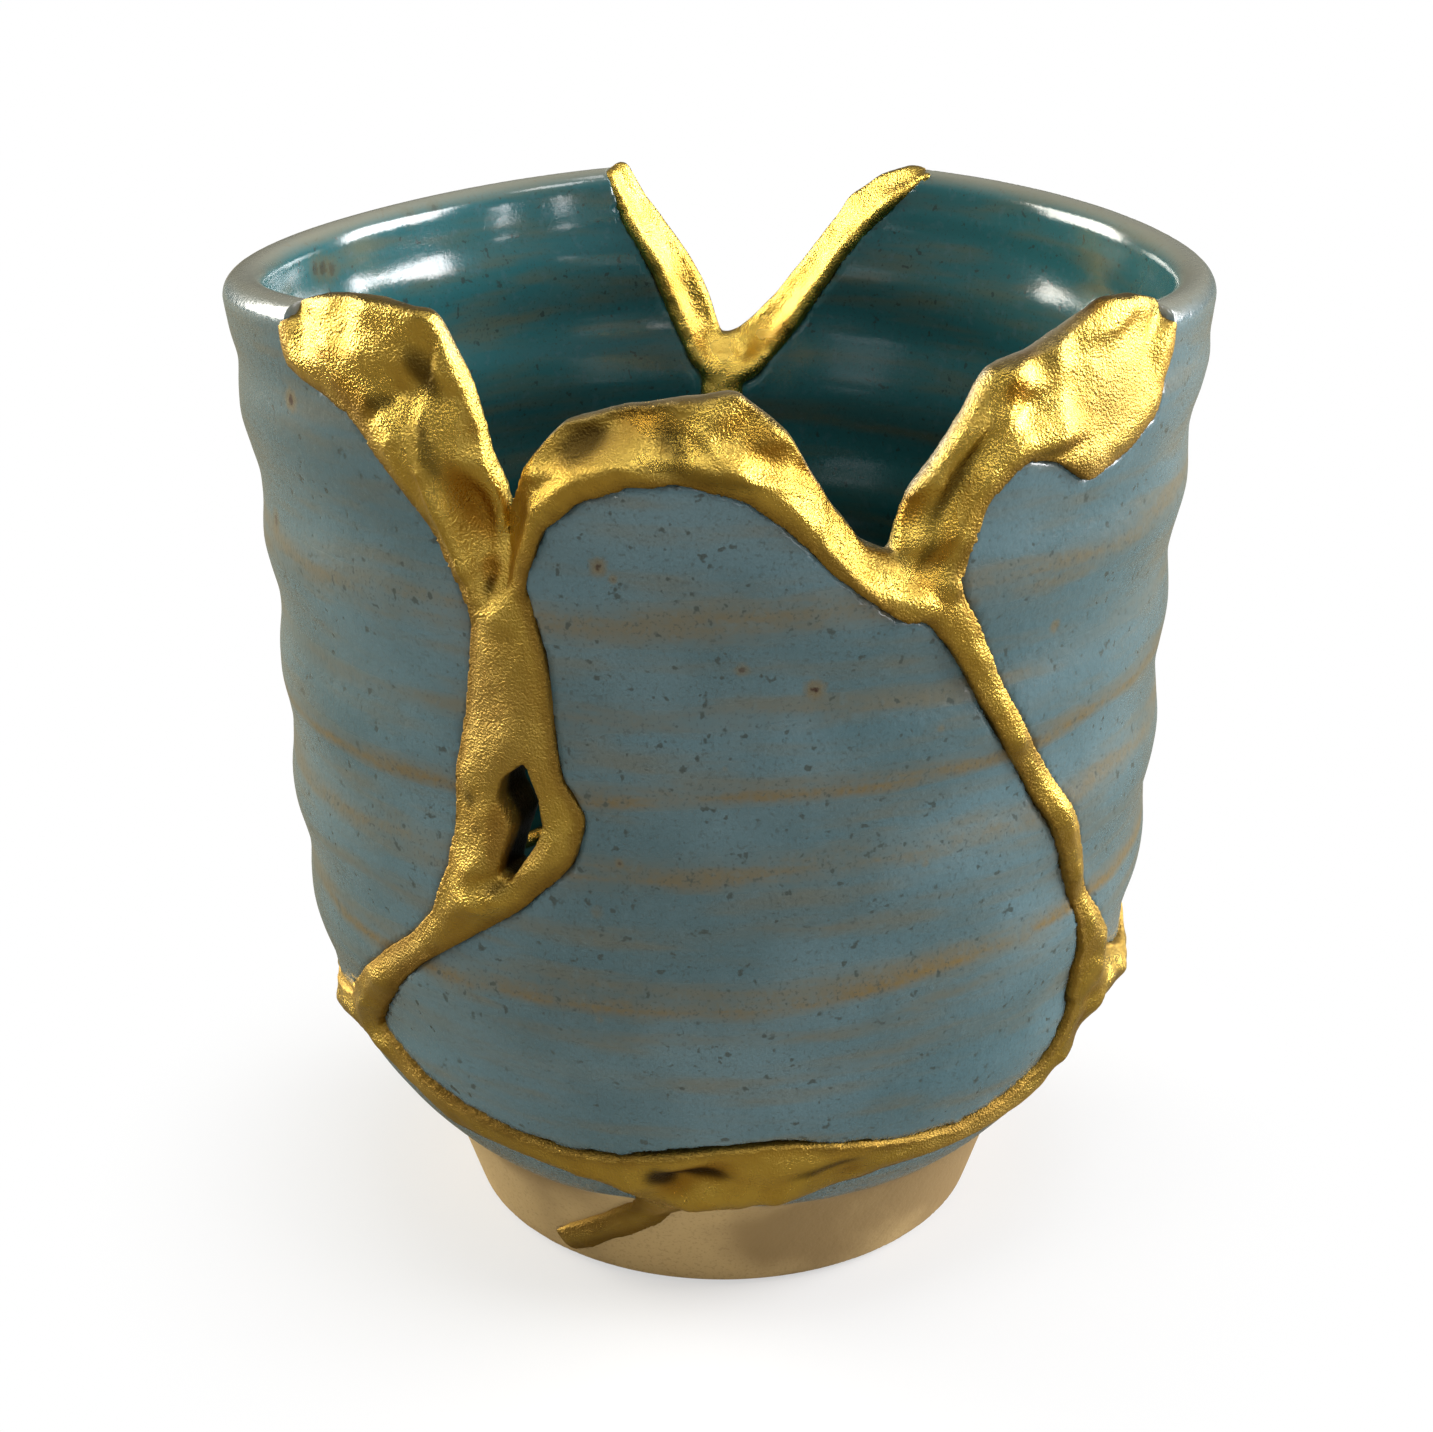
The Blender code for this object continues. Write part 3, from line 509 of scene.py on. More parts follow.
def from_polar(angle, radius, height):
    """Points from their angles, radii and heights."""
    turn = np.radians(angle)
    return np.stack([radius * np.sin(turn), -radius * np.cos(turn), height], axis=1)


def nearest_on(line, radius, height):
    """Where on the line each (radius, height) is nearest: its place along the line, and its distance."""
    tree = tree_of([(corner[0], corner[1], 0.0) for corner in line])
    near = np.array([tree.find((r, h, 0.0))[1] for r, h in zip(radius, height)])
    place = np.zeros(len(near))
    distance = np.full(len(near), np.inf)
    asked = np.stack([radius, height], axis=1)
    for start in (np.clip(near - 1, 0, len(line) - 2), np.clip(near, 0, len(line) - 2)):
        low = line[start, :2]
        along = line[start + 1, :2] - low
        t = np.clip(((asked - low) * along).sum(1) / np.maximum((along**2).sum(1), 1e-18), 0.0, 1.0)
        away = np.linalg.norm(asked - low - along * t[:, None], axis=1)
        nearer = away < distance
        distance = np.where(nearer, away, distance)
        place = np.where(nearer, start + t, place)
    return place, distance


def along_line(line, place, column):
    """A column of the line at these places along it."""
    return np.interp(place, np.arange(len(line)), line[:, column])


def noise_at(points, size, seed=0):
    """Smooth noise from -1 to 1 whose lumps have this size."""
    shift = Vector([seed * part for part in SEED_SHIFT])
    return np.array([noise.noise(Vector(point) / size + shift) for point in points])


def remeshed_copy(node, name, grid):
    """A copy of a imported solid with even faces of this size."""
    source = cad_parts[node]
    builder = bmesh.new()
    builder.from_mesh(source.data)
    bmesh.ops.remove_doubles(builder, verts=builder.verts, dist=1e-6)
    mesh = bpy.data.meshes.new(name + "_solid")
    builder.to_mesh(mesh)
    builder.free()
    copy = add_object(name, mesh)
    modifier = copy.modifiers.new("Even faces", "REMESH")
    modifier.mode = "VOXEL"
    modifier.voxel_size = grid
    evaluated = copy.evaluated_get(bpy.context.evaluated_depsgraph_get())
    result = bpy.data.meshes.new_from_object(evaluated)
    result.name = name
    copy.modifiers.clear()
    copy.data = result
    bpy.data.meshes.remove(mesh)
    if len(result.polygons) < FEWEST_FACES:
        raise RuntimeError(f"{node} could not be remeshed")
    return copy


def declare(piece, node, material):
    """Gives the piece its material, and tells the frame what it stands for."""
    piece.data.shade_smooth()
    piece.data.materials.clear()
    piece.data.materials.append(material)
    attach(piece, "root")
    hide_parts(node)


def skin_relief(angle, height, form):
    """How unevenly a hand-thrown wall swells."""
    around = from_polar(angle, np.full(len(angle), form.rim_radius), height)
    slow = noise_at(around * SLOW_SWELLS[0], SLOW_SWELLS[1], seed=3)
    quick = noise_at(around * QUICK_RIPPLES[0], QUICK_RIPPLES[1], seed=5)
    return form.unevenness * (slow + 0.35 * quick)


def throw_shard(node, form):
    """One shard: the solid's copy, grown to meet the lacquer and drawn on to the potter's profile."""
    wall = Wall(form)
    piece = remeshed_copy(node, "thrown_" + node, form.grid)
    mesh = piece.data
    points = read_points(mesh) + read_normals(mesh) * form.growth
    angle, radius, height = polar(points)
    ridged = (height > form.heel_height) & (radius > form.floor_flat_radius)
    radius = radius - wall.ridge(angle, height) * ridged
    height = height - wall.lift(angle, height) * ridged
    line = wall.profile()
    place, distance = nearest_on(line, radius, height)
    drawn = 1 - smooth_step(form.reach, form.reach * 1.5, distance)
    across, up = wall.inward(height)
    leaning = np.abs((read_normals(mesh) * from_polar(angle, across, up)).sum(axis=1))
    plain_wall = (height > form.heel_height) & (height < form.rim_height - form.wall)
    proud = (radius > along_line(line, place, 0)) == (along_line(line, place, 2) < 0.5)
    drawn = drawn * np.where(plain_wall & ~proud, smooth_step(0.8, 0.93, leaning), 1.0)
    radius += (along_line(line, place, 0) - radius) * drawn
    height += (along_line(line, place, 1) - height) * drawn
    ridged = smooth_step(form.heel_height * 0.9, form.heel_height, height)
    ridged = ridged * (radius > form.floor_flat_radius)
    radius += (wall.ridge(angle, height) + skin_relief(angle, height, form)) * ridged
    height += wall.lift(angle, height) * ridged
    write_points(mesh, from_polar(angle, radius, height))
    write_mask(mesh, "inside", along_line(line, place, 2))
    return piece


class WallRelief:
    """The lacquer's vertices by angle, height and depth in the wall, to be modelled as a relief."""

    def __init__(self, wall, points):
        self.wall = wall
        angle, radius, height = polar(points)
        rows = np.linspace(0.0, wall.form.rim_height * 1.1, 1000)
        line = np.stack([wall.radius(rows), rows], axis=1)
        flat_radius = radius - wall.ridge(angle, height)
        flat_height = height - wall.lift(angle, height)
        place = nearest_on(line, flat_radius, flat_height)[0]
        self.angle = angle
        self.height = along_line(line, place, 1)
        across, up = wall.inward(self.height)
        out_radius = flat_radius - along_line(line, place, 0)
        out_height = flat_height - self.height
        self.depth = out_radius * across + out_height * up
        self.aside_radius = out_radius - across * self.depth
        self.aside_height = out_height - up * self.depth
        sunk = np.maximum(self.depth, 0.0) * np.maximum(np.cos(np.radians(angle)), 0.0)
        self.seen = self.height + wall.lift(angle, self.height) + SUNK_LOOKS_HIGHER * sunk

    def points(self):
        """The vertices' places from their angles, heights and depths."""
        wall = self.wall
        across, up = wall.inward(self.height)
        radius = wall.radius(self.height) + across * self.depth + self.aside_radius
        height = self.height + up * self.depth + self.aside_height
        radius = radius + wall.ridge(self.angle, height)
        return from_polar(self.angle, radius, height + wall.lift(self.angle, height))

    def outward(self):
        """The direction out of the wall at each vertex."""
        across, up = self.wall.inward(self.height)
        return from_polar(self.angle, -across, -up)

    def offset(self, angle, height):
        """How far each vertex lies from a place on the wall, round it and up it, in metres."""
        across = np.radians(self.angle - angle) * self.wall.radius(np.array(height))
        return across, self.seen - height


def dab(relief, angle, height, long, wide, turn):
    """A soft oval of the relief: 1 in its middle and 0 outside."""
    across, up = relief.offset(angle, height / 1000)
    cosine = math.cos(math.radians(turn))
    sine = math.sin(math.radians(turn))
    along = (across * cosine + up * sine) / long * 1000
    aside = (up * cosine - across * sine) / wide * 1000
    return np.exp(-1.2 * (along**2 + aside**2))


def ridge_line(relief, corners, half_width):
    """A ridge through these corners: 1 along its crest."""
    nearest = np.full(len(relief.angle), np.inf)
    for start, end in zip(corners, corners[1:]):
        across, up = relief.offset(start[0], start[1] / 1000)
        radius = float(relief.wall.radius(np.array(start[1] / 1000)))
        run = np.array([math.radians(end[0] - start[0]) * radius, (end[1] - start[1]) / 1000])
        t = np.clip((across * run[0] + up * run[1]) / (run @ run), 0.0, 1.0)
        nearest = np.minimum(nearest, np.hypot(across - run[0] * t, up - run[1] * t))
    return np.exp(-((nearest * 1000 / half_width) ** 2))


def glaze_distance(points, shards):
    """How far each point lies from the bare glaze outside the shards."""
    glazed = []
    for shard in shards:
        inside = read_array(shard.data.attributes["inside"].data, "value", 1)[:, 0]
        spots = read_points(shard.data)
        wall_radius = np.hypot(spots[:, 0], spots[:, 1])
        glazed.append(spots[(inside < OUTER_SKIN) & (wall_radius > UNDERSIDE_RADIUS)])
    tree = tree_of(np.concatenate(glazed))
    return np.array([tree.find(point)[2] for point in points])


def tint_masks(relief):
    """How matte, amber and dark the lacquer is at each vertex, from the table of tints. The amber and dark
    masks are painted shade.
    """
    masks = {}
    for name, patches in TINTS.items():
        masks[name] = np.zeros(len(relief.angle))
        for *place, strength in patches:
            shape = dab(relief, *place)
            if name != "matte":
                shape = smooth_step(0.2, 0.75, shape)
            masks[name] = np.maximum(masks[name], shape * strength)
    return masks


def folds_at(points, finish):
    """Crumpled lacquer: 1 on sharp crests, and under 0 in the wide valleys between."""
    crests = np.sqrt(noise_at(points, finish.fold_size, seed=1) ** 2 + 0.01)
    return 1.0 - 2.4 * crests + 0.35 * noise_at(points, finish.lump_size, seed=2)


def hand_work(relief, shown):
    """How far dents, blobs and ridges raise the lacquer that is seen."""
    raised = np.zeros(len(shown))
    for *place, depth in DABS:
        raised += dab(relief, *place) * shown * depth / 1000
    for corners, half_width, rise in RIDGE_LINES:
        raised += ridge_line(relief, corners, half_width) * rise / 1000 * shown
    return raised


def shaded(relief, normals):
    """The lacquer in shade: inside the seam's hole, and on the tops of the broken edges."""
    in_hole = smooth_step(0.2, 0.4, dab(relief, *SEAM_HOLE))
    in_hole *= smooth_step(0.0005, 0.0012, relief.depth)
    broken_edge = smooth_step(0.3, 0.7, normals[:, 2]) * smooth_step(0.0006, 0.0018, relief.depth)
    broken_edge *= (np.abs(relief.angle) < NOTCHES_END) & (relief.height > NOTCHES_START)
    return np.maximum(in_hole, 0.65 * broken_edge)


def ungilded(relief, normals, finish):
    """The pale line along the inner corner of the broken edges, where no gold was laid."""
    strip = smooth_step(finish.bare_start, finish.bare_start + BARE_FADE, relief.depth)
    strip *= 1 - smooth_step(finish.bare_end, finish.bare_end + BARE_FADE, relief.depth)
    front = np.abs(relief.angle) < NOTCHES_END
    return strip * front * smooth_step(0.2, 0.6, normals[:, 2]) * (relief.height > NOTCHES_START + 0.002)


def lay_gold(form, finish, shards):
    """The lacquer: the solid's copy, smoothed, swelled, and modelled with dents, ridges and folds."""
    piece = remeshed_copy(GOLD, "laid_" + GOLD, finish.grid)
    mesh = piece.data
    edges = read_array(mesh.edges, "vertices", 2, np.int32)
    points = relaxed(read_points(mesh), edges, share=0.5, rounds=8)
    write_points(mesh, points)
    normals = read_normals(mesh)
    uneven = 1.0 + 0.5 * noise_at(points, finish.lump_size, seed=6)
    points = points + normals * (finish.swell * uneven)[:, None]
    relief = WallRelief(Wall(form), points)
    facing = (normals * relief.outward()).sum(axis=1)
    outer = (facing > 0.25) & (relief.depth < finish.coat_depth)
    relief.depth = relaxed(relief.depth, edges, share=0.6, rounds=finish.rounds, held=~outer)
    away = glaze_distance(relief.points(), shards)
    masks = tint_masks(relief)
    # Painted shade: the hole and the tops of the broken edges join the dark patches
    masks["dark"] = np.maximum(masks["dark"], shaded(relief, normals))
    masks["dark"] = relaxed(masks["dark"], edges, share=0.5, rounds=2)
    wide = smooth_step(finish.seam_width, finish.coat_width, away)
    wide *= 1.0 - 0.8 * np.minimum(masks["matte"] * 1.5, 1.0)
    folds = folds_at(points, finish)
    # Painted shade: the valleys between the folds are darkened to amber
    valleys = (1.0 - smooth_step(-0.5, 0.3, folds)) * wide
    masks["amber"] = np.maximum(masks["amber"], 0.85 * valleys)
    shown = relaxed(smooth_step(0.1, 0.6, facing), edges, share=0.6, rounds=6)
    raised = finish.crumple * folds * wide * shown
    raised += finish.ripple * noise_at(points, finish.ripple_size, seed=4)
    raised += hand_work(relief, shown)
    relief.depth = relaxed(relief.depth - raised, edges, share=0.5, rounds=2, held=~outer)
    for angle, height, way in LACQUER_ENDS:
        near = dab(relief, angle, height, *END_SIZE, 0)
        relief.angle = relief.angle + near * way * finish.end_reach / form.rim_radius * 180 / math.pi
    write_points(mesh, relief.points())
    write_mask(mesh, "glaze_distance", away * 1000)
    for name, values in masks.items():
        write_mask(mesh, name, values)
    write_mask(mesh, "bare", relaxed(ungilded(relief, normals, finish), edges, share=0.6, rounds=5))
    return piece


class Value:
    """An output of a shader node, on which sums are written as plain arithmetic."""

    def __init__(self, tree, socket):
        self.tree = tree
        self.socket = socket

    def __add__(self, other):
        return calc("ADD", self, other)

    def __sub__(self, other):
        return calc("SUBTRACT", self, other)

    def __rsub__(self, other):
        return calc("SUBTRACT", other, self)

    def __mul__(self, other):
        return calc("MULTIPLY", self, other)

    def __truediv__(self, other):
        return calc("DIVIDE", self, other)

    __radd__ = __add__


def feed(tree, node, inputs):
    """Gives a node's inputs their values, or links the outputs that feed them."""
    for key, value in inputs.items():
        socket = node.inputs[key]
        if isinstance(value, Value):
            tree.links.new(value.socket, socket)
        elif isinstance(value, bpy.types.NodeSocket):
            tree.links.new(value, socket)
        elif socket.type == "RGBA":
            socket.default_value = (*value, 1.0)
        else:
            socket.default_value = value


def add_node(tree, kind, inputs=None, **settings):
    """A shader node with these settings and inputs."""
    node = tree.nodes.new("ShaderNode" + kind)
    for name, value in settings.items():
        setattr(node, name, value)
    feed(tree, node, inputs or {})
    return node


def output(tree, key, kind, inputs=None, **settings):
    """One output of a new node."""
    return Value(tree, add_node(tree, kind, inputs, **settings).outputs[key])


def calc(operation, first, second=0.0):
    """The result of a sum on one or two values."""
    tree = first.tree if isinstance(first, Value) else second.tree
    return output(tree, 0, "Math", {0: first, 1: second}, operation=operation)


def remap(value, low, high, to_low=0.0, to_high=1.0):
    """The value moved from one range to another, with a smooth start and end."""
    inputs = {0: value, 1: low, 2: high, 3: to_low, 4: to_high}
    return output(value.tree, 0, "MapRange", inputs, interpolation_type="SMOOTHSTEP")


def blend(share, first, second):
    """Two colours mixed: all of the second where the share is 1."""
    return output(share.tree, 2, "Mix", {0: share, 6: first, 7: second}, data_type="RGBA")


def noise_texture(place, scale, detail=2.0):
    """A noise texture at this place."""
    return output(place.tree, 0, "TexNoise", {"Vector": place, "Scale": scale, "Detail": detail})


def axis(place, number):
    """One coordinate of a place."""
    return output(place.tree, number, "SeparateXYZ", {0: place})


def object_place(tree):
    """The place on the object that is being shaded."""
    return output(tree, "Object", "TexCoord")


def mask(tree, name):
    """A number that the mesh keeps for each vertex."""
    return output(tree, "Fac", "Attribute", attribute_name=name)


def bump_normal(tree, strength, distance, inputs):
    """The normal of a bump map."""
    inputs = {"Strength": strength, "Distance": distance, **inputs}
    return output(tree, 0, "Bump", inputs)


def mix_shader(tree, share, first, second):
    """Two shader nodes mixed."""
    return add_node(tree, "MixShader", {0: share, 1: first.outputs[0], 2: second.outputs[0]})


def new_group(name, inputs, outputs):
    """A node group: its tree, its inputs, and its output node. An input without a default is a place."""
    group = bpy.data.node_groups.new(name, "ShaderNodeTree")
    for socket, default in inputs.items():
        kind = "NodeSocketVector" if default is None else "NodeSocketFloat"
        made = group.interface.new_socket(socket, in_out="INPUT", socket_type=kind)
        if default is not None:
            made.default_value = default
    for socket in outputs:
        group.interface.new_socket(socket, in_out="OUTPUT", socket_type="NodeSocketFloat")
    start = group.nodes.new("NodeGroupInput")
    given = {socket: Value(group, start.outputs[socket]) for socket in inputs}
    return group, given, group.nodes.new("NodeGroupOutput")


def run_group(group, place, **inputs):
    """The outputs of a node group at this place, by name."""
    inputs = {name.capitalize().replace("_", " "): value for name, value in inputs.items()}
    node = add_node(place.tree, "Group", {"Vector": place, **inputs}, node_tree=group)
    return {socket.name: Value(place.tree, socket) for socket in node.outputs}


def grain_group():
    """Fine grain and slow clouds at two sizes, which both the glaze and the lacquer use."""
    inputs = {"Vector": None, "Grain scale": 3000.0, "Cloud scale": 60.0}
    group, given, result = new_group("Grain and clouds", inputs, ("Grain", "Clouds"))
    grain = noise_texture(given["Vector"], given["Grain scale"])
    clouds = noise_texture(given["Vector"], given["Cloud scale"], detail=3.0)
    feed(group, result, {"Grain": grain, "Clouds": clouds})
    return group


def band_group():
    """Iron bands that lie round the pot, a little higher on one side than on the other."""
    group, given, result = new_group("Iron bands", {"Vector": None}, ("Band", "Streak"))
    place = given["Vector"]
    angle = calc("ARCTAN2", axis(place, 0), axis(place, 1) * -1.0)
    rise = calc("COSINE", angle + BAND_RISE_TURN) * BAND_RISE
    dip = calc("COSINE", angle * 2.0) * BAND_DIP
    wander = (noise_texture(place, scale=45.0) - 0.5) * BAND_WANDER
    level = axis(place, 2) + (rise - dip) - (BAND_RISE - BAND_DIP) + wander
    ramp = add_node(group, "ValToRGB", {0: level / BAND_SCALE})
    stops = ramp.color_ramp.elements
    for stop, position, strength in ((stops[0], 0.0, 0.05), (stops[1], 1.0, 0.1)):
        stop.position = position
        stop.color = (strength, strength, strength, 1.0)
    for height, strength in IRON_BANDS:
        stop = stops.new(height / 1000 / BAND_SCALE)
        stop.color = (strength, strength, strength, 1.0)
    flat = output(group, 0, "VectorMath", {0: place, 1: STREAK_SCALES}, operation="MULTIPLY")
    streak = noise_texture(flat, scale=1.0, detail=4.0)
    kept = remap(streak, 0.36, 0.6) * 0.5 + 0.5
    feed(group, result, {"Band": Value(group, ramp.outputs[0]) * kept, "Streak": streak})
    return group


def spot_group():
    """One iron spot: a dark core with a ragged edge, and a soft halo."""
    inputs = {"Vector": None, "Centre": None, "Radius": 0.0005}
    group, given, result = new_group("Iron spot", inputs, ("Core", "Halo"))
    place = given["Vector"]
    ends = {0: place, 1: given["Centre"]}
    apart = output(group, "Value", "VectorMath", ends, operation="DISTANCE")
    share = apart / given["Radius"] + (noise_texture(place, scale=2400.0) - 0.5)
    core = remap(share, 0.35, 0.75, 1.0, 0.0)
    feed(group, result, {"Core": core, "Halo": remap(share, 0.7, 1.9, 1.0, 0.0)})
    return group


def new_material(name):
    """A material with an empty Principled BSDF, and its tree and shader."""
    material = bpy.data.materials.new(name)
    material.use_nodes = True
    tree = material.node_tree
    return material, tree, tree.nodes["Principled BSDF"]


def add_spots(color, place, wall, finish, group):
    """The colour with the iron spots on it."""
    for angle, height, radius, strength, inset in IRON_SPOTS:
        reach = float(wall.radius(np.array(height / 1000))) - inset / 1000
        centre = from_polar(np.array([angle]), np.array([reach]), np.array([height / 1000]))[0]
        spot = run_group(group, place, centre=tuple(centre), radius=radius / 1000)
        color = blend(spot["Halo"] * (strength * 0.6), color, finish.iron)
        color = blend(spot["Core"] * strength, color, finish.rust)
    return color


def glaze_material(form, finish, groups):
    """Blue stoneware glaze with iron bands, specks and spots, ending above a bare clay foot, and with painted
    shade low inside.
    """
    material, tree, shader = new_material("glazed_stoneware")
    place = object_place(tree)
    height = axis(place, 2)
    inside = mask(tree, "inside")
    inner = remap(inside, 0.3, 0.9)
    grain = run_group(groups["grain"], place, grain_scale=3400.0, cloud_scale=55.0)
    bands = run_group(groups["bands"], place)
    coarse = noise_texture(place, scale=1100.0)

    color = blend(remap(grain["Clouds"], 0.35, 0.68), finish.blue, finish.pale)
    color = blend(inner * 0.85, color, finish.teal)
    color = blend(remap(bands["Streak"], 0.44, 0.76, 0.0, 0.34), color, finish.iron)
    sparse = remap(coarse, 0.36, 0.6, 0.7, 1.0)
    band = bands["Band"] * sparse * remap(inside, 0.3, 0.9, 1.0, 0.4)
    color = blend(band, color, finish.iron)
    dark = remap(grain["Grain"], 0.56, 0.7, 0.0, 0.6) * (band * 0.6 + 0.7)
    color = blend(dark, color, finish.speck)
    color = blend(remap(coarse, 0.29, 0.35, 0.8, 0.0), color, finish.speck)
    color = blend(remap(coarse, 0.58, 0.7, 0.0, 0.22), color, finish.pale)
    lip = remap(inside, 0.05, 0.4) * remap(inside, 0.6, 0.95, 1.0, 0.0)
    color = blend(lip * 0.75, color, finish.lip)
    # Painted shade: the glaze inside darkens low down
    inside_shade = remap(height, finish.deep_start, finish.deep_end, 0.9, 0.0) * inner
    color = blend(inside_shade, color, finish.inside_shade_color)
    color = add_spots(color, place, Wall(form), finish, groups["spot"])

    ragged = (grain["Clouds"] - 0.5) * finish.glaze_wander
    glazed = remap(height + ragged - finish.glaze_line, -0.0002, 0.0002)
    glazed = calc("MAXIMUM", glazed, remap(inside, 0.3, 0.6))
    clay = blend(remap(grain["Clouds"], 0.42, 0.6), finish.clay, finish.burnt)
    clay = blend(remap(grain["Grain"], 0.52, 0.7, 0.0, 0.5), clay, finish.burnt)

    rough = remap(inside, 0.2, 0.9, 0.26, 0.14) + bands["Band"] * 0.1 + dark * 0.15
    rough = calc("MAXIMUM", rough, (1.0 - glazed) * 0.85)
    pits = grain["Grain"] * remap(glazed, 0.0, 1.0, 1.0, 0.35)
    pitted = bump_normal(tree, strength=0.25, distance=0.00012, inputs={"Height": pits})
    peel = {"Height": coarse * remap(inside, 0.3, 0.9, 1.0, 0.25), "Normal": pitted}
    dressed = {
        "Base Color": blend(glazed, clay, color),
        "Roughness": rough,
        "Coat Weight": glazed * 0.35,
        "Coat Roughness": 0.12,
        "Normal": bump_normal(tree, strength=0.3, distance=0.0002, inputs=peel),
    }
    feed(tree, shader, dressed)
    return material


def gold_material(finish, groups):
    """Gold lacquer: burnished, with painted shade as amber in the hollows and near-black in shaded places,
    dusty in patches and dark beside the glaze.
    """
    material, tree, shader = new_material("gold_lacquer")
    amber, matte, dark, bare = [mask(tree, name) for name in ("amber", "matte", "dark", "bare")]
    grain = run_group(groups["grain"], object_place(tree), grain_scale=5200.0, cloud_scale=260.0)
    clouds = remap(grain["Clouds"], 0.4, 0.7)
    beside = remap(mask(tree, "glaze_distance") + grain["Clouds"] * 0.9, 0.85, 1.9, 0.8, 0.0)
    color = blend(clouds * 0.3, finish.gold, finish.amber)
    # Painted shade: amber in the hollows and the fold valleys
    color = blend(amber * 0.85, color, finish.amber)
    color = blend(matte * 0.8, color, finish.dust)
    color = blend(beside, color, finish.rim)
    # Painted shade: the dark patches and shaded places turn near-black
    color = blend(dark * 0.95, color, finish.painted_shade)
    sand = {"Height": grain["Grain"] * (matte + 0.75)}
    dressed = {
        "Base Color": blend(bare, color, finish.bare),
        "Metallic": 1.0 - bare,
        "Roughness": clouds * 0.12 + 0.24 + matte * 0.24 + beside * 0.25,
        "Normal": bump_normal(tree, strength=0.8, distance=0.0002, inputs=sand),
    }
    feed(tree, shader, dressed)
    return material


def white_world():
    """Even light, white to the camera and darker where gloss looks for something to reflect."""
    world = bpy.data.worlds.new("Studio")
    bpy.context.scene.world = world
    world.use_nodes = True
    tree = world.node_tree
    tree.nodes.clear()
    path = add_node(tree, "LightPath")
    height = axis(output(tree, "Generated", "TexCoord"), 2)
    ramp = add_node(tree, "ValToRGB", {0: remap(height, -1.0, 1.0)})
    stops = ramp.color_ramp.elements
    stops[0].position = 0.4
    stops[0].color = (0.03, 0.026, 0.02, 1.0)
    stops[1].position = 0.95
    stops[1].color = (0.36, 0.36, 0.36, 1.0)
    dim = add_node(tree, "Background", {0: ramp.outputs[0], 1: 0.75})
    even = add_node(tree, "Background", {0: WHITE, 1: 0.26})
    white = add_node(tree, "Background", {0: WHITE, 1: 1.0})
    light = mix_shader(tree, path.outputs["Is Glossy Ray"], even, dim)
    seen = mix_shader(tree, path.outputs["Is Camera Ray"], light, white)
    add_node(tree, "OutputWorld", {0: seen.outputs[0]})


def window(name, azimuth, elevation, distance, width, height, power, tone):
    """An area light that faces the mug from this direction."""
    light = bpy.data.lights.new(name, "AREA")
    light.shape = "RECTANGLE"
    light.size = width
    light.size_y = height
    light.energy = power
    light.color = tone
    lamp = add_object(name, light)
    turn = math.radians(azimuth)
    rise = math.radians(elevation)
    way = Vector((math.sin(turn) * math.cos(rise), -math.cos(turn) * math.cos(rise), math.sin(rise)))
    middle = Vector((0.0, 0.0, LIT_HEIGHT))
    facing = way.to_track_quat("Z", "Y").to_matrix().to_4x4()
    lamp.matrix_world = Matrix.Translation(middle + way * distance) @ facing


def add_floor(look):
    """A plain pale floor under the foot."""
    builder = bmesh.new()
    bmesh.ops.create_grid(builder, x_segments=8, y_segments=8, size=look.floor_size / 2)
    mesh = bpy.data.meshes.new("floor")
    builder.to_mesh(mesh)
    builder.free()
    floor = add_object("floor", mesh)
    material, tree, shader = new_material("pale_floor")
    path = add_node(tree, "LightPath")
    color = blend(Value(tree, path.outputs["Is Glossy Ray"]), look.floor_tone, look.floor_gloss)
    feed(tree, shader, {"Base Color": color, "Roughness": 0.9, "Specular IOR Level": 0.1})
    apart = output(tree, "Value", "VectorMath", {0: object_place(tree)}, operation="LENGTH")
    fade = remap(apart, look.shadow_start, look.shadow_reach, 0.55, 1.0)
    glow = add_node(tree, "Emission", {0: WHITE, 1: 1.0})
    seen = mix_shader(tree, fade * path.outputs["Is Camera Ray"], shader, glow)
    tree.links.new(seen.outputs[0], tree.nodes["Material Output"].inputs[0])
    mesh.materials.append(material)


def add_camera(look):
    """The camera, where the photograph was taken from."""
    camera = bpy.data.cameras.new("camera")
    camera.lens = look.lens
    camera.sensor_width = 36.0
    camera.clip_start = 0.01
    camera.clip_end = 20.0
    eye = add_object("camera", camera)
    turned = Matrix.Rotation(math.pi / 2 - look.tilt, 4, "X") @ Matrix.Rotation(-look.roll, 4, "Z")
    eye.matrix_world = Matrix.Translation((look.sideways, -look.distance, look.height)) @ turned
    bpy.context.scene.camera = eye


class KINTSUGI_OT_shards(bpy.types.Operator):
    """Throw and glaze the four shards"""

    bl_idname = "kintsugi.shards"
    bl_label = "Glazed Shards"
    bl_options = {"REGISTER", "UNDO"}

    def execute(self, context):
        form = context.scene.mug_form
        groups = {"grain": grain_group(), "bands": band_group(), "spot": spot_group()}
        material = glaze_material(form, context.scene.mug_glaze, groups)
        for node in SHARDS:
            declare(throw_shard(node, form), node, material)
        return {"FINISHED"}


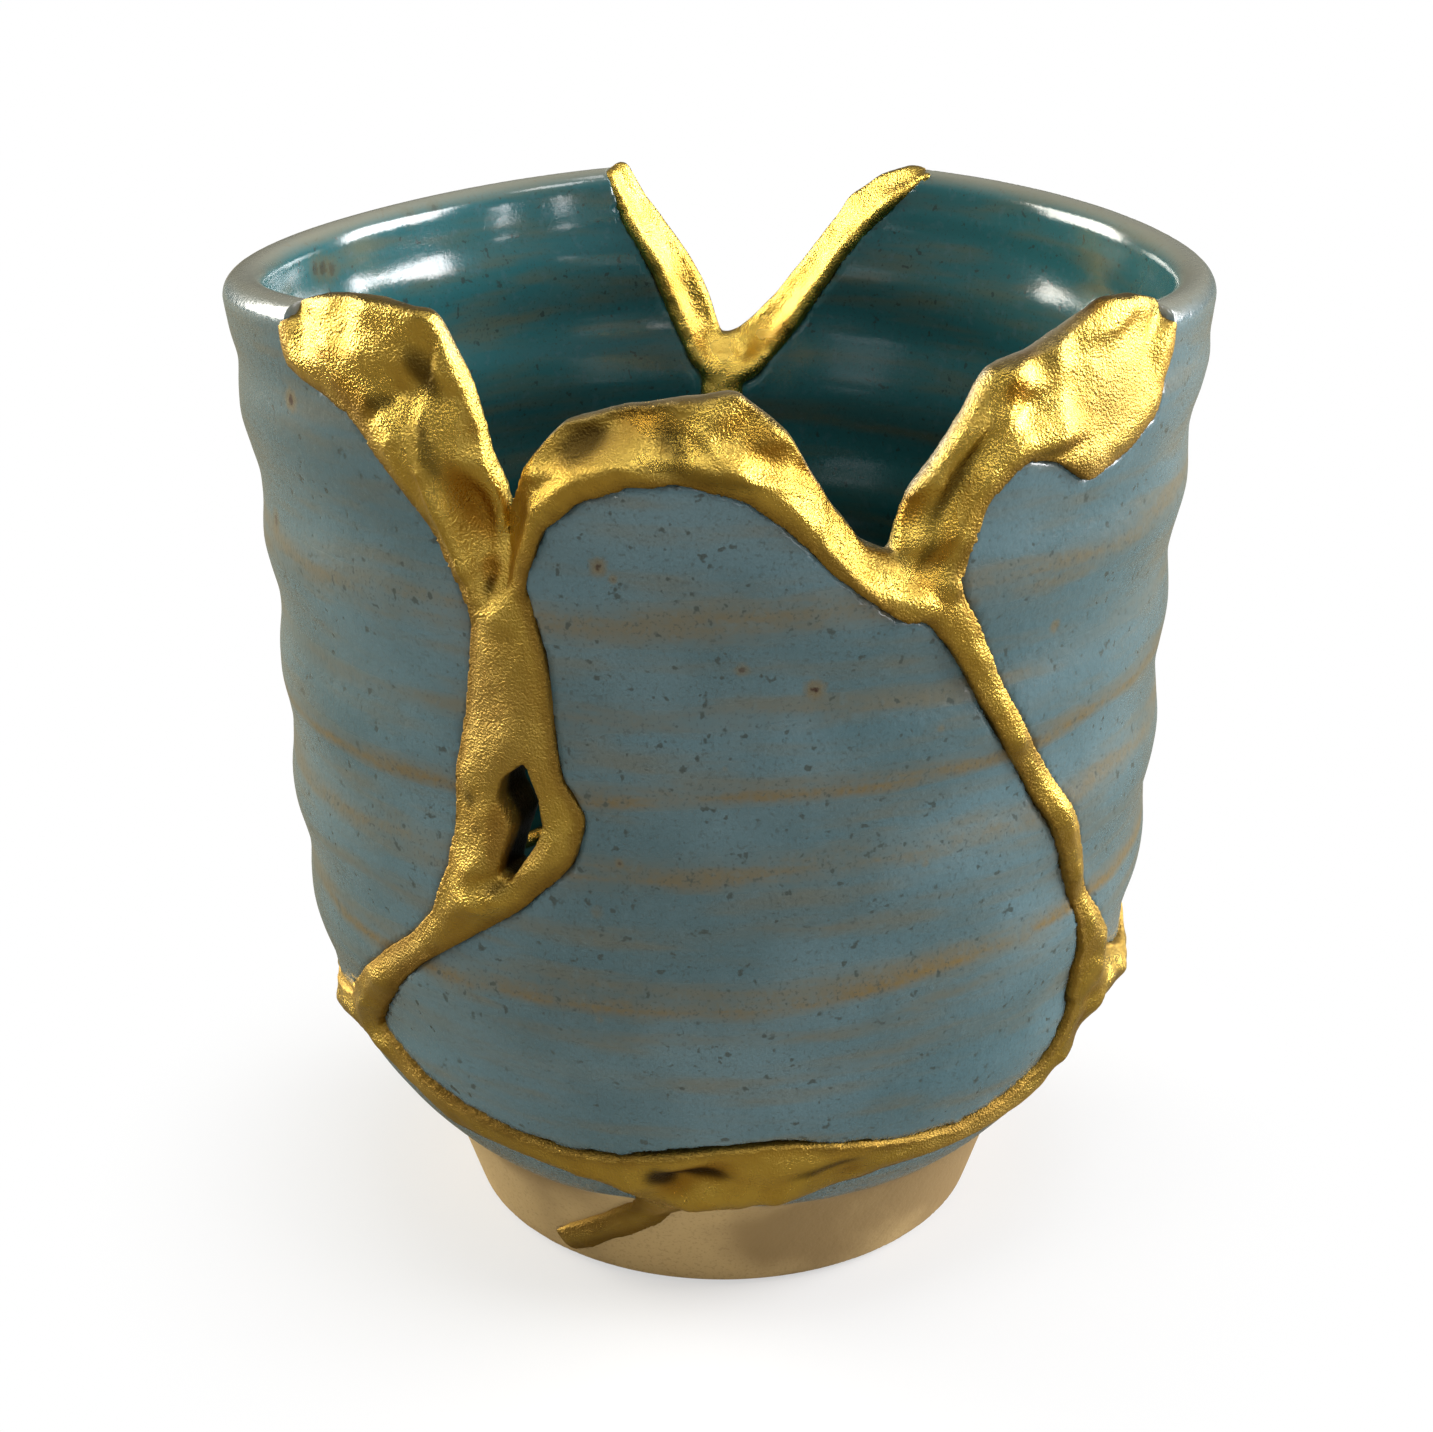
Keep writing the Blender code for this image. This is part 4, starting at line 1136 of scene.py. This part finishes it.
class KINTSUGI_OT_gold(bpy.types.Operator):
    """Lay the gold lacquer on the broken edges and in the cracks"""

    bl_idname = "kintsugi.gold"
    bl_label = "Gold Lacquer"
    bl_options = {"REGISTER", "UNDO"}

    def execute(self, context):
        shards = [bpy.data.objects["thrown_" + node] for node in SHARDS]
        groups = {"grain": bpy.data.node_groups["Grain and clouds"]}
        piece = lay_gold(context.scene.mug_form, context.scene.mug_gold, shards)
        declare(piece, GOLD, gold_material(context.scene.mug_gold, groups))
        return {"FINISHED"}


class KINTSUGI_OT_studio(bpy.types.Operator):
    """Set up the floor, the light and the camera"""

    bl_idname = "kintsugi.studio"
    bl_label = "Studio"
    bl_options = {"REGISTER", "UNDO"}

    def execute(self, context):
        look = context.scene.mug_look
        white_world()
        add_floor(look)
        for name, azimuth, elevation, distance, width, height, power in LIGHTS:
            tone = COOL if azimuth > 0 else WARM
            window(name, azimuth, elevation, distance, width, height, power, tone)
        add_camera(look)
        context.scene.view_settings.view_transform = "Standard"
        return {"FINISHED"}


class KINTSUGI_PT_panel(bpy.types.Panel):
    """Lists the pieces and their sizes and colours"""

    bl_idname = "KINTSUGI_PT_panel"
    bl_label = "Kintsugi Mug"
    bl_space_type = "VIEW_3D"
    bl_region_type = "UI"
    bl_category = "Kintsugi"

    def draw(self, context):
        layout = self.layout
        scene = context.scene
        for operator, settings in (
            (KINTSUGI_OT_shards, (scene.mug_form, scene.mug_glaze)),
            (KINTSUGI_OT_gold, (scene.mug_gold,)),
            (KINTSUGI_OT_studio, (scene.mug_look,)),
        ):
            box = layout.box()
            box.operator(operator.bl_idname)
            for group in settings:
                for name in group.__annotations__:
                    box.prop(group, name)


SETTINGS = {
    "mug_form": ThrownForm,
    "mug_glaze": GlazeFinish,
    "mug_gold": GoldFinish,
    "mug_look": StudioLook,
}
OPERATORS = (KINTSUGI_OT_shards, KINTSUGI_OT_gold, KINTSUGI_OT_studio)
CLASSES = (*SETTINGS.values(), *OPERATORS, KINTSUGI_PT_panel)


def register():
    for item in CLASSES:
        bpy.utils.register_class(item)
    for name, group in SETTINGS.items():
        setattr(bpy.types.Scene, name, PointerProperty(type=group))


def unregister():
    for name in SETTINGS:
        delattr(bpy.types.Scene, name)
    for item in reversed(CLASSES):
        bpy.utils.unregister_class(item)


def main():
    register()
    bpy.ops.kintsugi.shards()
    bpy.ops.kintsugi.gold()
    bpy.ops.kintsugi.studio()


if __name__ == "__main__":
    main()
